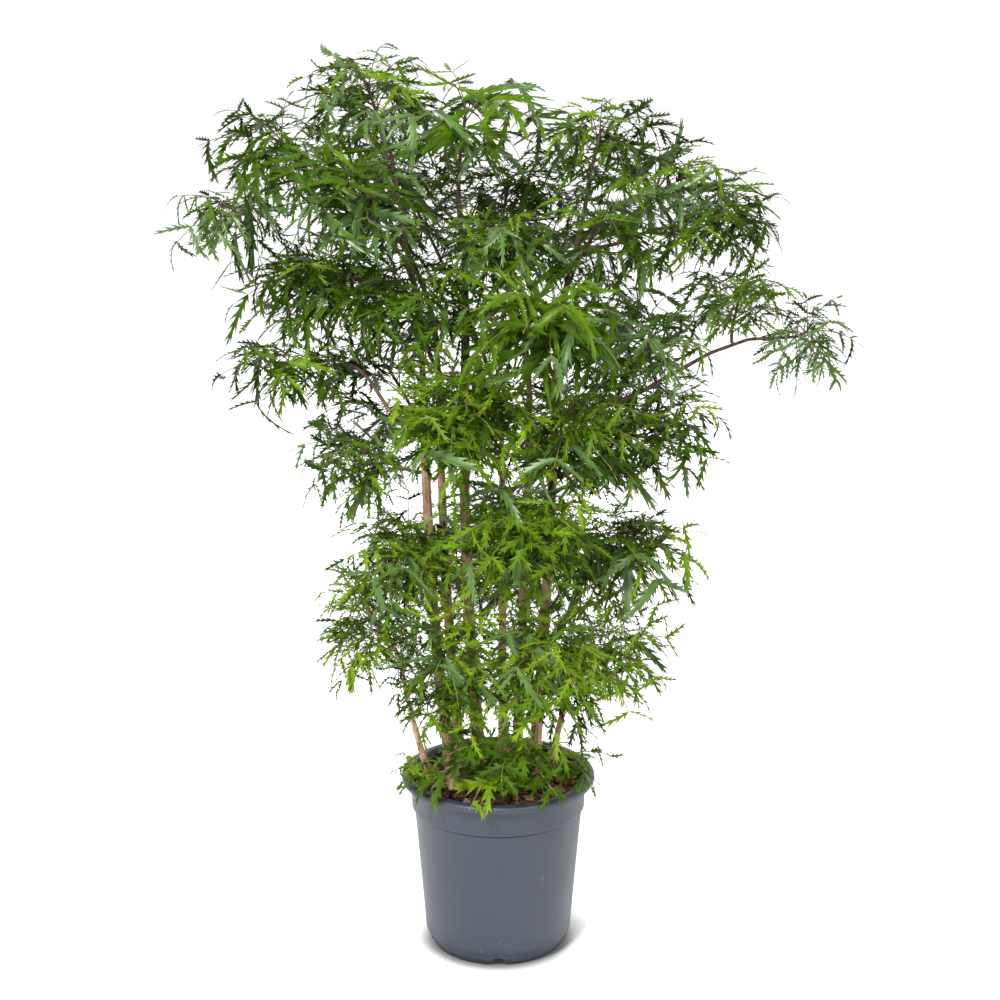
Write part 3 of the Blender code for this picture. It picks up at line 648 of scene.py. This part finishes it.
def blade_shape(teeth, body, reach, sweep, base, seed):
    """A blade of length 1 with pointed lobes: corners as (along, across) and triangles.

    body and reach are half widths without and with lobes, base the share of the edge that lobes take."""
    chance = random.Random(seed)
    step = LOBES_SHARE / teeth

    def half(at, width):
        turn = math.pi * min(1.0, CURVE_START + (1 - CURVE_START) * at) ** CURVE_SKEW
        return width * (END_WIDTH + (1 - END_WIDTH) * math.sin(turn))

    corners = [(0.0, 0.0)]
    for k in range(teeth + 1):
        at = LOBES_FROM + step * k
        corners += [(at, 0.0), (at, -half(at, body)), (at, half(at, body))]
    rows = [1 + 3 * k for k in range(teeth + 1)]
    triangles = []
    for k in range(teeth):
        a, b = rows[k], rows[k + 1]
        at = LOBES_FROM + step * k
        for hand, edge in ((-1, 1), (1, 2)):
            end = at + step * base
            tip = at + step * base / 2 + sweep * chance.uniform(*LOBE_SWEEPS)
            out = half(at + step / 2, reach) * chance.uniform(*LOBE_REACHES)
            corners += [(end, hand * half(end, body) * NOTCH_WIDTH), (tip, hand * out)]
            notch, point = len(corners) - 2, len(corners) - 1
            made = [(a, a + edge, notch), (a, notch, b), (b, notch, b + edge), (a + edge, point, notch)]
            triangles += made if hand > 0 else [tuple(reversed(t)) for t in made]
    corners.append((1.0, 0.0))
    last, end = rows[-1], len(corners) - 1
    first = rows[0]
    triangles += [(last, last + 2, end), (last + 1, last, end), (0, first + 2, first), (0, first, first + 1)]
    return np.array(corners), np.array(triangles)


# Kinds of leaflet: blades, length, fold and bend, the pairs on a rib, and how many of them are divided
Kind = namedtuple("Kind", "shapes length fold bend pairs compound")
BROAD = [blade_shape(5, 0.068, 0.150, 0.15, 0.66, seed) for seed in range(SHAPES)]
CUT = [blade_shape(5, 0.060, 0.185, 0.15, 0.56, seed) for seed in range(SHAPES)]
FINE = [blade_shape(4, 0.058, 0.215, 0.18, 0.55, seed) for seed in range(SHAPES)]
PALM = [blade_shape(3, 0.095, 0.290, 0.21, 0.62, seed) for seed in range(SHAPES)]
KINDS = {
    "broad": Kind(BROAD, 1.60, 0.35, 0.45, 3, 0),
    "cut": Kind(CUT, 1.18, 0.40, 0.42, 4, 1),
    "fine": Kind(FINE, 0.96, 0.40, 0.35, 4, 2),
    "palm": Kind(PALM, 1.00, 0.30, 0.28, 4, 1),
}

# How a mass looks: its kind of leaflet, its sprays' colours, its stems' colour, and its sprays to a frond
Look = namedtuple("Look", "kind colours stalks more")
DARK = ("deep", "mid", "deep", "shade", "fresh", "shade")
MID = ("mid", "deep", "deep", "blue", "fresh", "shade")
SLATE = ("blue", "mid", "deep", "deep")
BRIGHT = ("fresh", "mid", "fresh", "mid", "lime", "shade")
LIME = ("fresh", "mid", "fresh", "deep", "mid", "lime")
# The back masses' darker colours are painted shade for the crown's inside
BACK = ("deep", "shade", "deep", "mid")
BACK_LOW = ("mid", "deep", "fresh", "deep")
LOOK_GROUPS = [
    ("cut", MID, "dark", {
        "crest_left": 1.08, "shoulder_left": 0.84, "tip_left": 0.60, "edge_right": 1.40,
        "centre_upper": 1.67, "middle_right": 1.58, "arm_upper": 1.40, "arm_tip": 0.86,
    }),
    ("broad", SLATE, "dark", {"crest_middle": 0.75, "front_left": 1.38}),
    ("cut", DARK, "dark", {
        "crest_right": 0.82, "shoulder_right": 0.75, "middle_left": 1.40, "low_left": 0.72,
        "inner_left": 1.51, "centre_high": 1.39, "inner_right": 0.60,
    }),
    ("broad", SLATE, "tan", {"centre_front": 1.55}),
    ("fine", MID, "dark", {"low_right": 0.84, "lobe_left": 1.22}),
    ("fine", BRIGHT, "tan", {
        "centre_left": 2.30, "centre_right": 1.50, "waist_front": 2.10, "waist_left": 2.30,
        "lower_left": 1.40, "bottom_right": 1.25, "base_left": 2.25, "base_right": 2.45,
    }),
    ("fine", BRIGHT, "dark", {"lower_right": 1.49}),
    ("palm", LIME, "tan", {"base_front": 0.90, "rim_left": 0.56, "rim_right": 0.43}),
    ("cut", BACK, "dark", {
        "back_high_left": 1.39, "back_high_right": 0.92, "back_middle_left": 0.97,
        "back_middle_right": 1.08,
    }),
    ("fine", BACK_LOW, "tan", {"back_low": 2.82}),
]
LOOKS = {name: Look(*look, more) for *look, masses in LOOK_GROUPS for name, more in masses.items()}

# Colours of the stems in the masses (dark, tan) and of the leaf stalks on them (olive, straw)
STALKS = {
    "dark": ((0.035, 0.016, 0.010), (0.085, 0.042, 0.026)),
    "tan": ((0.110, 0.080, 0.034), (0.260, 0.170, 0.080)),
    "olive": ((0.045, 0.040, 0.012), (0.105, 0.090, 0.026)),
    "straw": ((0.110, 0.115, 0.022), (0.210, 0.200, 0.050)),
}
LEAF_STALKS = {"dark": "olive", "tan": "straw"}

# A spray: where its first and last pairs stand on its rib, and how unevenly, the share of leaflets that must
# find room, and the chances of big leaflets and, low down, of yellowing ones
FIRST_LEAF = 0.26
LAST_LEAF = 0.88
LEAF_JITTER = 0.015
LEAST_LEAVES = 0.55
BIG_LEAVES = 0.11
OLD_LEAVES = 0.004

# Leaflets: their length by the rib's, how that wanes towards its tip, and how far they lean on and hang down
LONGEST_RIB = 0.14
LEAFLET_SHARE = 0.42
FIRST_SIZE, SIZE_LOSS = 1.05, 0.35
SIZES = (0.8, 1.15)
END_SIZES = (0.7, 0.9)
LEAN = (0.15, 1.0)
DROOP = (-0.45, 1.10)
TWIST = 0.15

# The divided pairs: their stalk's length and sag, and the places and sizes of the leaflets on it
STALK_SHARE = (0.75, 1.0)
STALK_SAG = 0.12
STALK_END_SIZE = 0.75
SIDE_LEAFLETS = ((0.42, 0.62), (0.80, 0.55))
SIDE_LEAN = (0.3, 1.0)
SIDE_DROOP = (-0.45, 0.85)
SIDE_TWIST = 0.2
RIB_RADII = (0.00100, 0.00045)
STALK_RADII = (0.00055, 0.00030)
STALK_SIDES, STEM_SIDES = 3, 6

# A leaflet's face: how far it turns outwards and at random, its bend, width and sideways curl
OUTWARD_FACE = 0.55
FACE_SPREAD = 0.55
BENDS = (-0.2, 1.9)
WIDTHS = (0.8, 1.2)
CURL = 0.24

# How far leaves may overstep their mass's share at its edge (SLACK), into a neighbour's (OVERLAP times that)
# and between two masses (BRIDGE), where along a leaflet it is tried, and the sizes tried in turn
SLACK = 0.010
OVERLAP = 3.6
BRIDGE = 0.024
PROBES = (0.35, 0.7, 1.0)
SHRINKS = (1.0, 0.75, 0.55)


def frond_path(number, count, index, mass, stem, spaces):
    """The part's rule for a frond's midrib: from the stem up, out and down to the edge of its room."""
    centre = np.array(mass.centre)
    share = (number + 0.5) / count
    rise = math.asin(HIGHEST_RISE + (LOWEST_RISE - HIGHEST_RISE) * share)
    root = place_on(stem, HIGHEST_ROOT + (LOWEST_ROOT - HIGHEST_ROOT) * share)[0]
    first_turn = math.atan2(centre[1], centre[0]) - OUTWARD_FROND * GOLDEN_ANGLE
    for attempt in range(FROND_TRIES):
        turn = first_turn + number * GOLDEN_ANGLE + attempt * TRY_TURN
        level = math.cos(rise)
        ball = np.array((math.cos(turn) * level, math.sin(turn) * level, math.sin(rise)))
        out = unit(ball * mass.radii)
        target = centre + out * (spaces.reach(index, centre, out) - EDGE_ROOM)
        way = target - root
        if np.linalg.norm(way) < LEAST_FROND:
            continue
        first = unit(unit(way) + UP * FROND_ARCH)
        path = np.array(curve(root, first, target, unit(out - UP * FROND_ARCH), FROND_STATIONS, FROND_PULL))
        if spaces.free(index, path[1:]).all():
            return path
    return None


class Leaves:
    """Leaflets waiting to be meshed, by colour, and the stalks that carry them, by look."""

    def __init__(self):
        self.rows = {colour: [] for colour in COLOURS}
        self.stalks = {look: Heap() for look in STALKS}

    def fitted(self, index, spaces, leaflets, kind, dice):
        """Each leaflet at the largest size that its room allows."""
        roots = np.array([leaflet[0] for leaflet in leaflets])
        ways = units(np.array([leaflet[1] for leaflet in leaflets]))
        lengths = np.array([leaflet[2] for leaflet in leaflets])
        count = len(roots)
        outward = units(roots * (1.0, 1.0, 0.0) + UP * 1e-6)
        tilt = UP + outward * OUTWARD_FACE + dice.normal(0, FACE_SPREAD, (count, 3))
        sides = units(np.cross(ways, tilt))
        faces = np.cross(sides, ways)
        bends = kind.bend * dice.uniform(*BENDS, count)
        waiting = np.ones(count, bool)
        rows = []
        for shrink in SHRINKS:
            size = lengths * shrink
            ok = waiting.copy()
            for at in PROBES:
                probe = roots + (ways * at - faces * (bends * at**2)[:, None]) * size[:, None]
                ok &= spaces.free(index, probe)
            for k in np.flatnonzero(ok):
                shape = int(dice.integers(SHAPES))
                width = dice.uniform(*WIDTHS)
                curl = dice.normal(0, CURL)
                rows.append((kind, shape, roots[k], ways[k], faces[k], size[k], width, bends[k], curl))
            waiting &= ~ok
        return rows

    def stalk(self, look, points, radius, tip_radius):
        radii = np.linspace(radius, tip_radius, len(points))
        self.stalks[look].add(*tube_mesh(points, radii, STALK_SIDES))


def grow_spray(path, index, spaces, look, colour, leaves, dice):
    """One compound leaf: its stalk, its divided lower pairs, its simple upper pairs and its end leaflet.

    A leaf that finds too little room for its leaflets isn't grown."""
    big = look.kind != "palm" and dice.random() < BIG_LEAVES
    kind = KINDS["broad" if big else look.kind]
    colour = "blue" if big else colour
    rib = Limb(list(path), [0.0] * len(path))
    rib_length = float(np.linalg.norm(np.diff(path, axis=0), axis=1).sum())
    size = min(rib_length, LONGEST_RIB) * LEAFLET_SHARE * kind.length
    found = []
    stalks = [(path, *RIB_RADII)]
    shares = np.linspace(FIRST_LEAF, LAST_LEAF, kind.pairs) + dice.normal(0, LEAF_JITTER, kind.pairs)
    for pair, share in enumerate(shares):
        root, run, _ = place_on(rib, float(share))
        across = unit(np.cross(run, UP + dice.normal(0, TWIST, 3)))
        for hand in (-1, 1):
            way = unit(across * hand + run * dice.uniform(*LEAN) - UP * dice.uniform(*DROOP))
            reach = size * (FIRST_SIZE - SIZE_LOSS * pair / kind.pairs) * dice.uniform(*SIZES)
            if pair >= kind.compound:
                found.append((root, way, reach))
                continue
            stalk = reach * dice.uniform(*STALK_SHARE)
            points = [root + way * (stalk * t) - UP * (STALK_SAG * stalk * t * t) for t in (0.0, 0.5, 1.0)]
            if not spaces.free(index, np.array(points)).all():
                continue
            stalks.append((points, *STALK_RADII))
            found.append((points[2], unit(points[2] - points[1]), reach * STALK_END_SIZE))
            beside = unit(np.cross(way, UP + dice.normal(0, SIDE_TWIST, 3)))
            for at, share_of in SIDE_LEAFLETS:
                for other in (-1, 1):
                    turned = beside * other + way * dice.uniform(*SIDE_LEAN) - UP * dice.uniform(*SIDE_DROOP)
                    length = reach * share_of * dice.uniform(*SIZES)
                    found.append((root + way * (stalk * at), unit(turned), length))
    found.append((path[-1], unit(path[-1] - path[-2]), size * dice.uniform(*END_SIZES)))
    rows = leaves.fitted(index, spaces, found, kind, dice)
    if len(rows) < LEAST_LEAVES * len(found):
        return
    leaves.rows[colour] += rows
    for stalk in stalks:
        leaves.stalk(LEAF_STALKS[look.stalks], *stalk)


def grow_masses(limbs):
    """Every mass's stem, stalks and leaflets."""
    stems = [mass_stem(mass, limbs) for mass in MASSES]
    spaces = Spaces(limbs, stems)
    leaves = Leaves()
    for index, (mass, stem) in enumerate(zip(MASSES, stems)):
        look = LOOKS[mass.name]
        chance = random.Random(mass.name)
        dice = np.random.default_rng(chance.getrandbits(32))
        points, radii, _ = smooth_limb(stem, STEM_STEP)
        leaves.stalks[look.stalks].add(*tube_mesh(points, radii, STEM_SIDES))
        count = int(round(mass.fronds * look.more))
        for number in range(count):
            path = frond_path(number, count, index, mass, stem, spaces)
            if path is None:
                continue
            colour = look.colours[int(dice.integers(len(look.colours)))]
            if look.stalks == "tan" and dice.random() < OLD_LEAVES:
                colour = "old"
            grow_spray(path, index, spaces, look, colour, leaves, dice)
    return leaves


def leaflet_meshes(rows):
    """Corners and triangles of all the leaflets in these rows, shape by shape."""
    for kind, shape in [(kind, shape) for kind in KINDS.values() for shape in range(SHAPES)]:
        same = [row for row in rows if row[0] is kind and row[1] == shape]
        if not same:
            continue
        corners, triangles = kind.shapes[shape]
        root, way, face = (np.array([row[k] for row in same])[:, None, :] for k in (2, 3, 4))
        size, width, bend, curl = (np.array([row[k] for row in same])[:, None, None] for k in (5, 6, 7, 8))
        side = np.cross(way, face)
        along = corners[None, :, :1]
        across = corners[None, :, 1:] * width
        lift = kind.fold * np.abs(across) - bend * along**2
        places = root + (way * along + side * (across + curl * along**2) + face * lift) * size
        starts = np.arange(len(same))[:, None, None] * len(corners)
        yield places.reshape(-1, 3), (triangles[None, :, :] + starts).reshape(-1, 3)


PIECE_LEAFLETS = 4300


def build_leaves(leaves):
    """Joins leaflets by colour and stalks by look, in pieces under 200,000 triangles."""
    names = ["foliage_" + mass.name for mass in MASSES]
    first = None
    for colour, rows in leaves.rows.items():
        if not rows:
            continue
        made = leaf_material(colour)
        for part in range(0, len(rows), PIECE_LEAFLETS):
            heap = Heap()
            for corners, triangles in leaflet_meshes(rows[part : part + PIECE_LEAFLETS]):
                heap.add(corners, triangles)
            piece = heap_object(f"leaves_{colour}_{part // PIECE_LEAFLETS}", heap, made, smooth=False)
            first = first or piece
    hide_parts(*names)
    for look, heap in leaves.stalks.items():
        heap_object("stalks_" + look, heap, two_toned("stalk_" + look, TWIG, *STALKS[look]))


# The pot


POT_SIDES = 144
PROFILE = [
    (0.0773, 0.0), (0.0800, 0.0), (FOOT_RADIUS + 0.0006, 0.0006), (0.0848, 0.0050), (0.0872, 0.0110),
    (0.0881, 0.0165), (0.0900, 0.0171), (0.0907, 0.0184), (0.0915, 0.0240), (0.0943, 0.060),
    (0.0976, 0.100), (0.1009, 0.140), (0.1031, 0.165), (0.1036, 0.1700), (0.1045, 0.1802),
    (0.1046, 0.1810), (0.1066, 0.1814), (0.1073, 0.1821), (0.1077, 0.1834), (COLLAR_RADIUS, 0.1850),
    (COLLAR_RADIUS, 0.2140), (COLLAR_RADIUS + 0.0006, 0.2156), (COLLAR_RADIUS + 0.0020, 0.2161),
    (RIM_RADIUS - 0.0012, 0.2161), (RIM_RADIUS - 0.0002, 0.2166), (RIM_RADIUS, 0.2180),
    (RIM_RADIUS, 0.2200), (RIM_RADIUS - 0.0005, 0.2222), (RIM_RADIUS - 0.0018, 0.2238),
    (RIM_RADIUS - 0.0042, 0.2248), (RIM_RADIUS - 0.0075, 0.2250), (RIM_RADIUS - 0.0105, 0.2245),
    (RIM_RADIUS - 0.0125, 0.2232), (RIM_RADIUS - 0.0136, 0.2210),
]


def turned(name, profile, made, sides=POT_SIDES, closed=False):
    """A surface of revolution through the profile. A closed one runs on to the axis at both ends."""
    rings = np.array(profile)
    turns = np.arange(sides) * math.tau / sides
    corners = np.empty((len(rings), sides, 3))
    corners[:, :, 0] = rings[:, :1] * np.cos(turns)
    corners[:, :, 1] = rings[:, :1] * np.sin(turns)
    corners[:, :, 2] = rings[:, 1:]
    corners = corners.reshape(-1, 3).tolist()
    circle = [(step, (step + 1) % sides) for step in range(sides)]
    faces = []
    for low in range(0, len(corners) - sides, sides):
        high = low + sides
        faces += [(low + step, low + after, high + after, high + step) for step, after in circle]
    if closed:
        end, foot = len(corners) - sides, len(corners)
        corners += [(0.0, 0.0, profile[0][1]), (0.0, 0.0, profile[-1][1])]
        for step, after in circle:
            faces += [(foot, after, step), (foot + 1, end + step, end + after)]
    return mesh_object(name, corners, faces, made)


FLOOR_UNDERSIDE = 0.0121
FLOOR_TOP = 0.0145
BASE_RADIUS = 0.050
FOOT_RING = 0.0035
WALL = [
    (INNER_RADIUS, 0.2190), (INNER_RADIUS, 0.1880), (0.1049, 0.1810), (0.1014, 0.1690), (0.0873, FLOOR_TOP)
]

# The notches in the foot, and a small drain slot beside the front one: outlines as (across, height)
NOTCH = [(-0.012, -0.002), (0.012, -0.002), (0.005, 0.0115), (-0.005, 0.0115)]
NOTCHES = 5
NOTCH_DEPTHS = (FOOT_RADIUS - 0.0105, FOOT_RADIUS + 0.008)
DRAIN_TURNS = np.arange(10) * math.tau / 10
DRAIN = [(0.0022 * math.cos(a), 0.0052 + 0.0016 * math.sin(a)) for a in DRAIN_TURNS]
DRAIN_DEPTHS = (FOOT_RADIUS - 0.006, FOOT_RADIUS + 0.010)
DRAIN_TURN = -math.pi / 2 - math.radians(41)
DARK_BELOW_RIM = 0.006
SHARP = math.radians(32)


def cut(target, cutter):
    """Cuts one mesh out of another and removes the cutter."""
    modifier = target.modifiers.new("cut", "BOOLEAN")
    modifier.operation = "DIFFERENCE"
    modifier.object = cutter
    graph = bpy.context.evaluated_depsgraph_get()
    mesh = bpy.data.meshes.new_from_object(target.evaluated_get(graph), depsgraph=graph)
    target.modifiers.clear()
    target.data = mesh
    bpy.data.objects.remove(cutter)


def wedge(outline, turn, near, far, made):
    """A bar with this outline, lying outwards from the axis."""
    out = np.array((math.cos(turn), math.sin(turn), 0.0))
    across = np.array((-out[1], out[0], 0.0))
    corners = [out * reach + across * w + UP * z for reach in (near, far) for w, z in outline]
    count = len(outline)
    sides = [(i, (i + 1) % count, (i + 1) % count + count, i + count) for i in range(count)]
    faces = [tuple(reversed(range(count))), tuple(range(count, 2 * count)), *sides]
    return mesh_object("cutter", corners, faces, made, smooth=False)


def build_pot():
    outside = pot_material()
    # The inside wall's near-black colour is painted shade: the same plastic as outside, in its own shadow
    dark = two_toned("pot_inside", INSIDE_SHADE_FINISH, (0.006, 0.006, 0.007), (0.016, 0.017, 0.019))
    base = [(BASE_RADIUS, 0.0), (BASE_RADIUS + WALL_THICKNESS, FLOOR_UNDERSIDE)]
    foot = [(FOOT_RADIUS - FOOT_RING, FLOOR_UNDERSIDE)]
    pot = turned("pot_shell", [*base, *foot, *PROFILE, *WALL], outside, closed=True)
    for k in range(NOTCHES):
        cut(pot, wedge(NOTCH, math.tau * k / NOTCHES - math.pi / 2, *NOTCH_DEPTHS, outside))
    cut(pot, wedge(DRAIN, DRAIN_TURN, *DRAIN_DEPTHS, outside))
    mesh = pot.data
    mesh.materials.clear()
    mesh.materials.append(outside)
    mesh.materials.append(dark)
    # Inward faces from the floor up to just below the rim get that painted shade
    for face in mesh.polygons:
        x, y, z = face.center
        if x * face.normal.x + y * face.normal.y < 0 and FLOOR_TOP < z < POT_HEIGHT - DARK_BELOW_RIM:
            face.material_index = 1
    mesh.shade_smooth()
    mesh.set_sharp_from_angle(angle=SHARP)
    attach(pot, "root")
    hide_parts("pot")


# The soil and its bark chunks


SOIL_SEED = 11
SOIL_RINGS, SOIL_SIDES = 46, 150
SOIL_EDGE_GAP = 0.0004
SOIL_BUMP = 0.0065
SOIL_LOWEST, SOIL_HIGHEST = -0.0035, 0.0045
SOIL_LIFT = 0.0012
SOIL_EDGE_DROP = -0.004
SOIL_SPREAD = 0.9
SOIL_CENTRE = 0.0005
CHUNK_EDGE_ROOM = 0.008
CHUNK_LIFT = (0.000, 0.0055)
CHUNK_SIZES, CHUNK_LENGTHS, CHUNK_HEIGHTS = (0.0022, 0.0062), (0.8, 1.7), (0.25, 0.6)
CHUNK_CORNERS = (0.55, 1.1)
CHUNK_TILT = 0.45

# Bark chunks: their name, how many, and the ends of their colours
CHUNKS = [
    ("bark_chunks_dark", 300, (0.030, 0.013, 0.008), (0.120, 0.052, 0.030)),
    ("bark_chunks_red", 280, (0.090, 0.038, 0.020), (0.280, 0.135, 0.075)),
    ("bark_chunks_pale", 100, (0.220, 0.125, 0.075), (0.500, 0.330, 0.220)),
]


def build_soil():
    dice = np.random.default_rng(SOIL_SEED)
    made = two_toned("soil_mix", CRUMBS, (0.010, 0.005, 0.003), (0.060, 0.028, 0.016))
    radius = INNER_RADIUS - SOIL_EDGE_GAP
    bumps = dice.normal(0, 1, (SOIL_RINGS + 1, SOIL_SIDES))
    for _ in range(2):
        bumps = (bumps + np.roll(bumps, 1, 1) + np.roll(bumps, -1, 1)) / 3
        bumps[1:-1] = (bumps[:-2] + bumps[1:-1] + bumps[2:]) / 3
    shares = [k / SOIL_RINGS for k in range(SOIL_RINGS + 1)]
    profile = [(radius * share**SOIL_SPREAD + SOIL_CENTRE, SOIL_TOP) for share in shares]
    soil = turned("soil_surface", profile, made, SOIL_SIDES)
    heights = np.clip(bumps * SOIL_BUMP, SOIL_LOWEST, SOIL_HIGHEST) + SOIL_LIFT
    heights[-1] = SOIL_EDGE_DROP
    for vertex, height in zip(soil.data.vertices, heights.reshape(-1)):
        vertex.co.z += float(height)
    soil.data.flip_normals()
    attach(soil, "root")
    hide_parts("soil")
    for name, count, low, high in CHUNKS:
        heap = Heap()
        for _ in range(count):
            reach = (radius - CHUNK_EDGE_ROOM) * math.sqrt(dice.random())
            turn = dice.uniform(0, math.tau)
            height = SOIL_TOP + dice.uniform(*CHUNK_LIFT)
            heap.add(*chunk(np.array((reach * math.cos(turn), reach * math.sin(turn), height)), dice))
        heap_object(name, heap, two_toned(name, CRUMBS, low, high), smooth=False)


def chunk(place, dice):
    """A flake of bark: a jagged flat box turned any way."""
    length = dice.uniform(*CHUNK_SIZES)
    size = length * np.array((dice.uniform(*CHUNK_LENGTHS), 1.0, dice.uniform(*CHUNK_HEIGHTS)))
    corners = np.array([(x, y, z) for x in (-1, 1) for y in (-1, 1) for z in (-1, 1)], float)
    corners = (corners * dice.uniform(*CHUNK_CORNERS, (8, 3))) * size
    tilt, spin = dice.normal(0, CHUNK_TILT), dice.uniform(0, math.tau)
    turn = np.array(((math.cos(spin), -math.sin(spin), 0), (math.sin(spin), math.cos(spin), 0), (0, 0, 1)))
    lean = np.array(((1, 0, 0), (0, math.cos(tilt), -math.sin(tilt)), (0, math.sin(tilt), math.cos(tilt))))
    quads = [(0, 1, 3, 2), (4, 6, 7, 5), (0, 4, 5, 1), (2, 3, 7, 6), (0, 2, 6, 4), (1, 5, 7, 3)]
    triangles = [t for a, b, c, d in quads for t in ((a, b, c), (a, c, d))]
    return corners @ lean.T @ turn.T + place, triangles


# The studio


# The floor's painted shadow: how its colour darkens by distance from the pot's middle; and the distances
# between which its glow sets in, dim near the pot as more painted shadow
FLOOR_PAINTED_SHADOW = [(0.060, 0.04), (0.085, 0.25), (0.098, 0.75), (0.13, 1.0)]
WORLD_LIGHT = 0.33
WHITE = (1.0, 1.0, 1.0, 1.0)
GLOW = {"From Min": 0.080, "From Max": 0.150, "To Min": 0.03, "To Max": 0.74}

# The sweep's section, and the lights: where they stand and aim, their size and power
FLOOR = -0.0004
SWEEP = [(0.0, FLOOR), (0.6, FLOOR), (40.0, FLOOR), (55.0, 3.0), (66.0, 10.0), (74.0, 24.0), (78.0, 45.0)]
SWEEP_SIDES = 64
LIGHTS = [
    ("key_light", (-1.4, -2.8, 3.4), (0, 0, 0.6), 1.2, 330),
    ("fill_light", (2.2, -2.6, 2.6), (0, 0, 0.6), 1.4, 88),
    ("back_light", (0.6, 3.0, 3.0), (0, 0, 0.7), 2.4, 40),
]

# The camera, at the photo's angle
CAMERA_PLACE = (0.0023, -2.5, 1.236)
CAMERA_PITCH = 14.85
LENS = 77.3
FARTHEST = 300


def floor_material():
    """A white sweep with a painted shadow near the pot, where its colour darkens and its glow fades so that
    the lights alone brighten it; further off it glows.
    """
    made, shader = plain("studio_floor", 0.9, 0.1)
    white = ramp(made, noise(made, 0.8, 3.0), greys((0.3, 0.66), (0.7, 0.68)))
    length = node(made, "VectorMath")
    length.operation = "LENGTH"
    reach = wired(made, length, {0: in_object(made)})["Value"]
    # Painted shadow: the floor's colour darkens towards the pot's foot
    painted_shadow = ramp(made, reach, greys(*FLOOR_PAINTED_SHADOW))
    painted(made, shader, mixed(made, "MULTIPLY", 1.0, white, painted_shadow))
    # The glow fades near the pot, adding to the painted shadow there
    glow = node(made, "MapRange")
    glow.interpolation_type = "SMOOTHSTEP"
    strength = wired(made, glow, {"Value": reach, **GLOW})["Result"]
    wired(made, shader, {"Emission Strength": strength, "Emission Color": WHITE})
    return made


def build_studio():
    floor = turned("studio_floor", SWEEP, floor_material(), SWEEP_SIDES)
    world = bpy.data.worlds.new("studio")
    world.use_nodes = True
    wired(world, world.node_tree.nodes["Background"], {"Color": WHITE, "Strength": WORLD_LIGHT})
    bpy.context.scene.world = world
    for light in LIGHTS:
        area(*light)
    bpy.context.scene.view_settings.view_transform = "Standard"
    bpy.context.scene.view_settings.look = "None"


def area(name, place, aim, size, power):
    data = bpy.data.lights.new(name, "AREA")
    data.shape = "DISK"
    data.size = size
    data.energy = power
    found = bpy.data.objects.new(name, data)
    found.location = place
    way = unit(np.array(aim, float) - np.array(place, float))
    found.rotation_euler = (math.acos(-way[2]), 0.0, math.atan2(way[1], way[0]) - math.pi / 2)
    bpy.context.scene.collection.objects.link(found)


def build_camera():
    data = bpy.data.cameras.new("camera")
    data.sensor_width = 36.0
    data.lens = LENS
    data.clip_end = FARTHEST
    camera = bpy.data.objects.new("camera", data)
    camera.location = CAMERA_PLACE
    camera.rotation_euler = (math.radians(90 - CAMERA_PITCH), 0.0, 0.0)
    bpy.context.scene.collection.objects.link(camera)
    bpy.context.scene.camera = camera


def main():
    build_camera()
    build_studio()
    build_pot()
    build_soil()
    limbs = all_limbs()
    bark = bark_material()
    for cane in CANES:
        bark_limb(cane.name, limbs[cane.name], bark)
    for bough in BOUGHS:
        bark_limb(bough.name, limbs[bough.name], bark)
    build_leaves(grow_masses(limbs))


main()
